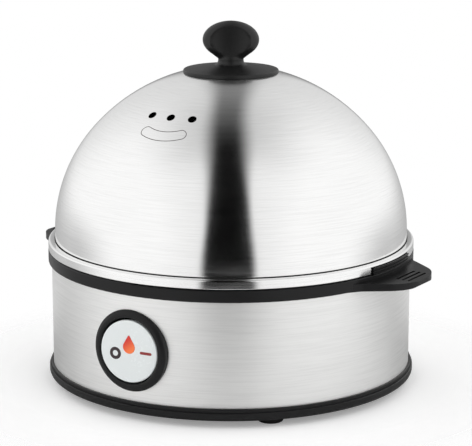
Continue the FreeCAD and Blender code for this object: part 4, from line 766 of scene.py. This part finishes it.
def knob_reach(height, wide, thin):
    """How far neck and head together reach."""
    past = min(max((height - NECK_ROUND) / (NECK_END - NECK_ROUND), 0), 1)
    neck = NECK * math.sqrt(1 - past ** 2)
    room = BLEND_WIDE * wide ** 2 + BLEND_THIN * thin ** 2
    head = head_reach(height, wide, thin)
    return blend(neck, head, room) if neck > 0 else head


def dome_level(radius):
    """The height of the knob's underside over the crown."""
    return CROWN_MIDDLE + math.sqrt((CROWN_ARC + SEAT_GAP) ** 2 - radius ** 2)


# %% Knob
KNOB_TURN = math.radians(30)
KNOB_STEPS = 144
KNOB_RINGS = 96
FLANGE = 0.021
FLANGE_TOP = 0.13884
FLANGE_ROUND = 0.0007
FLANGE_ROOT = 0.1409
FLANGE_STEPS = 6
UNDERSIDE = (0.005, 0.008, 0.011, 0.014, 0.017, 0.02)
FLARE = 0.0022
FLARE_STEPS = 12
SOCKET = 0.0031
SOCKET_TOP = 0.1472

tilt = math.atan((FLANGE_ROOT - FLANGE_TOP) / (FLANGE - NECK))
flare_level = FLANGE_ROOT + FLARE * (1 / math.cos(tilt) - math.tan(tilt))
slope = math.degrees(tilt)
lip_at = (FLANGE - FLANGE_ROUND, FLANGE_TOP - FLANGE_ROUND)
section = [(SOCKET, SOCKET_TOP)]
section += [(radius, dome_level(radius)) for radius in (SOCKET, *UNDERSIDE, FLANGE)]
section += arc(lip_at, FLANGE_ROUND, 0, 90 - slope, FLANGE_STEPS)
section += arc((NECK + FLARE, flare_level), FLARE, -90 - slope, -180, FLARE_STEPS)
turns = [2 * math.pi * step / KNOB_STEPS for step in range(KNOB_STEPS)]
rings = [[(radius, height) for turn in turns] for radius, height in section]
for step in range(1, KNOB_RINGS):
    angle = math.pi * (step / KNOB_RINGS - 0.5)
    span = HEAD_MIDDLE - flare_level if angle < 0 else HEAD_HALF[2]
    height = HEAD_MIDDLE + span * math.sin(angle)
    rings.append([(knob_reach(height, math.cos(turn), math.sin(turn)), height) for turn in turns])
bm = bmesh.new()
loops = []
for ring in rings:
    spots = zip(ring, turns)
    places = [(r * math.cos(t + KNOB_TURN), r * math.sin(t + KNOB_TURN), z) for (r, z), t in spots]
    loops.append([bm.verts.new(place) for place in places])
for low, high in zip(loops, loops[1:]):
    join_loops(bm, low, high)
bm.faces.new(loops[0])
pole = bm.verts.new((0, 0, HEAD_MIDDLE + HEAD_HALF[2]))
for step in range(KNOB_STEPS):
    bm.faces.new((loops[-1][step], loops[-1][(step + 1) % KNOB_STEPS], pole))
bmesh.ops.recalc_face_normals(bm, faces=bm.faces)
knob = as_object("knob_grip", bm)
finish_piece(knob, satin, "lid", "black_plastic", "lid_knob")

# %% [markdown]
# ## The drum
# A plain sheet cylinder, with round openings behind the switch bezel and the cord's grommet.

# %% Drum
DRUM_RADIUS = 0.08
SLEEVE_WALL = 0.0006
DRUM_LOW = 0.0062
DRUM_HIGH = 0.0547
BARREL_HOLE = 0.0155
GLAND_HOLE = 0.0051
GLAND_LEVEL = 0.0197
DRUM_DRILL = 0.05
sleeve = [
    (DRUM_RADIUS - SLEEVE_WALL, DRUM_LOW),
    (DRUM_RADIUS, DRUM_LOW),
    (DRUM_RADIUS, DRUM_HIGH),
    (DRUM_RADIUS - SLEEVE_WALL, DRUM_HIGH),
]
drum = spin("drum_sheet", sleeve)
sideways = Matrix.Rotation(math.pi / 2, 4, "X")
switch_at = Matrix.Translation((0, -DRUM_RADIUS, PIVOT.z)) @ sideways
gland_at = Matrix.Translation((0, DRUM_RADIUS, GLAND_LEVEL)) @ sideways
switch_hole = rod("switch_cut", BARREL_HOLE, DRUM_DRILL, switch_at)
gland_hole = rod("gland_cut", GLAND_HOLE, DRUM_DRILL, gland_at)
cut(drum, switch_hole, gland_hole)
finish_piece(drum, drum_steel, "base", "drum_steel", "steel_sleeve")

# %% [markdown]
# ## Marks on the rocker
# A ring for off and a bar for on are printed on the cap. They are flat pieces a few hundredths of a
# millimetre proud of the face, set in the rocker's own tipped frame.

# %% Rocker marks
ROCKER_TILT = math.radians(5)
ROCKER_FACE = 0.0044
PRINT = 0.00004
RED_INK = (0.3, 0.03, 0.03, 1)
RING_AT = (-0.0065, -0.0014)
RING_IN = 0.00125
RING_OUT = 0.00265
RING_STEPS = 64
BAR_AT = (0.008, 0.0001)
BAR_LENGTH = 0.0056
BAR_WIDTH = 0.0012
BAR_STEPS = 16
tipped = Matrix.Translation(PIVOT) @ Matrix.Rotation(ROCKER_TILT, 4, "Z") @ sideways
red_ink = grained("print_red", RED_INK, *INK_LOOK)


def on_rocker(x, y, lift):
    """A point on the rocker's face."""
    return tipped @ Vector((x, y, ROCKER_FACE + lift))


def ring_loop(middle, radius):
    """Points on a circle."""
    turns = [2 * math.pi * step / RING_STEPS for step in range(RING_STEPS)]
    return [(middle[0] + radius * math.cos(turn), middle[1] + radius * math.sin(turn)) for turn in turns]


def flat_bar(name, middle, length, width):
    """A flat bar with rounded ends on the rocker's face."""
    outline = []
    for end, start in ((1, -90), (-1, 90)):
        for step in range(BAR_STEPS + 1):
            angle = math.radians(start + 180 * step / BAR_STEPS)
            x = middle[0] + end * (length - width) / 2 + width / 2 * math.cos(angle)
            outline.append((x, middle[1] + width / 2 * math.sin(angle)))
    bm = bmesh.new()
    low, high = [[bm.verts.new(on_rocker(x, y, level)) for x, y in outline] for level in (-PRINT, PRINT)]
    bm.faces.new(low[::-1])
    bm.faces.new(high)
    join_loops(bm, low, high)
    bmesh.ops.recalc_face_normals(bm, faces=bm.faces)
    return as_object(name, bm)


off_ring = strip("mark_off", ring_loop(RING_AT, RING_IN), ring_loop(RING_AT, RING_OUT), on_rocker, PRINT)
finish_piece(off_ring, ink, "rocker", "white_plastic")
on_bar = flat_bar("mark_on", BAR_AT, BAR_LENGTH, BAR_WIDTH)
finish_piece(on_bar, red_ink, "rocker", "white_plastic")

# %% [markdown]
# ## Screws under the pan
# Four screws hold the pan to the ring. They are all alike, so one screw is modelled and Geometry Nodes
# sets it out: two pairs, mirrored to the lug axis, each turned by its own amount, as a screwdriver
# leaves them. The tree's inputs are the ring, the angle and the level, and a fixed seed turns the heads.

# %% One screw
SCREW_HEAD = 0.0029
SCREW_SHANK = 0.00145
HEAD_HEIGHT = 0.0022
SCREW_LENGTH = 0.0132
HEAD_ROUND = 0.0007
HEAD_STEPS = 6
SCREW_SIDES = 48
SLOT_LENGTH = 0.0034
SLOT_WIDTH = 0.0008
SLOT_DEPTH = 0.0012
profile = [(0, 0), (SCREW_HEAD - HEAD_ROUND, 0)]
profile += arc((SCREW_HEAD - HEAD_ROUND, HEAD_ROUND), HEAD_ROUND, -90, 0, HEAD_STEPS)[1:]
profile += [(SCREW_HEAD, HEAD_HEIGHT), (SCREW_SHANK, HEAD_HEIGHT)]
profile += [(SCREW_SHANK, SCREW_LENGTH - SCREW_SHANK), (0, SCREW_LENGTH)]
screw = spin("pan_screws", profile, SCREW_SIDES)
slots = []
for long, short in ((SLOT_LENGTH, SLOT_WIDTH), (SLOT_WIDTH, SLOT_LENGTH)):
    low, high = (-long / 2, -short / 2, -SLOT_DEPTH), (long / 2, short / 2, SLOT_DEPTH)
    slots.append(block("slot_cut", low, high))
cut(screw, *slots)
print("one screw:", len(screw.data.polygons), "faces")

# %% Tree that sets out the screws
SCREW_COUNT = 4
SCREW_INPUTS = {"Ring": 0.074, "Angle": math.radians(20), "Level": 0.0033}
layout = bpy.data.node_groups.new("screw_layout", "GeometryNodeTree")
layout.interface.new_socket("Screw", in_out="INPUT", socket_type="NodeSocketGeometry")
sockets = {}
for name in SCREW_INPUTS:
    sockets[name] = layout.interface.new_socket(name, in_out="INPUT", socket_type="NodeSocketFloat")
sockets["Seed"] = layout.interface.new_socket("Seed", in_out="INPUT", socket_type="NodeSocketInt")
sockets["Finish"] = layout.interface.new_socket("Finish", in_out="INPUT", socket_type="NodeSocketMaterial")
layout.interface.new_socket("Screws", in_out="OUTPUT", socket_type="NodeSocketGeometry")
given = layout.nodes.new("NodeGroupInput").outputs
number = add_node(layout, "GeometryNodeInputIndex").outputs[0]
side = calc(layout, "FLOOR", calc(layout, "DIVIDE", number, 2))
sign = calc(layout, "SUBTRACT", calc(layout, "MULTIPLY", calc(layout, "MODULO", number, 2), 2), 1)
half_turn = calc(layout, "MULTIPLY", side, math.pi)
turn = calc(layout, "ADD", half_turn, calc(layout, "MULTIPLY", sign, given["Angle"]))
x = calc(layout, "MULTIPLY", calc(layout, "COSINE", turn), given["Ring"])
y = calc(layout, "MULTIPLY", calc(layout, "SINE", turn), given["Ring"])
spot = add_node(layout, "ShaderNodeCombineXYZ", {"X": x, "Y": y, "Z": given["Level"]}).outputs[0]
points = add_node(layout, "GeometryNodePoints", {"Count": SCREW_COUNT, "Position": spot}).outputs[0]
chance = add_node(layout, "FunctionNodeRandomValue", {"Seed": given["Seed"]}, data_type="FLOAT_VECTOR")
chance.inputs["Min"].default_value = (0, 0, 0)
chance.inputs["Max"].default_value = (0, 0, math.pi)
feeds = {"Points": points, "Instance": given["Screw"], "Rotation": chance.outputs[0]}
copies = add_node(layout, "GeometryNodeInstanceOnPoints", feeds).outputs[0]
solid = add_node(layout, "GeometryNodeRealizeInstances", {"Geometry": copies}).outputs[0]
feeds = {"Geometry": solid, "Material": given["Finish"]}
dressed = add_node(layout, "GeometryNodeSetMaterial", feeds).outputs[0]
result = layout.nodes.new("NodeGroupOutput")
layout.links.new(dressed, result.inputs["Screws"])
print("layout nodes:", len(layout.nodes))

# %% Screws in place
SCREW_SEED = 7
step = screw.modifiers.new("layout", "NODES")
step.node_group = layout
for name, value in SCREW_INPUTS.items():
    step[sockets[name].identifier] = value
step[sockets["Seed"].identifier] = SCREW_SEED
step[sockets["Finish"].identifier] = zinc
apply_modifiers(screw)
finish_piece(screw, zinc, "base", "zinc_steel", "base_screws")
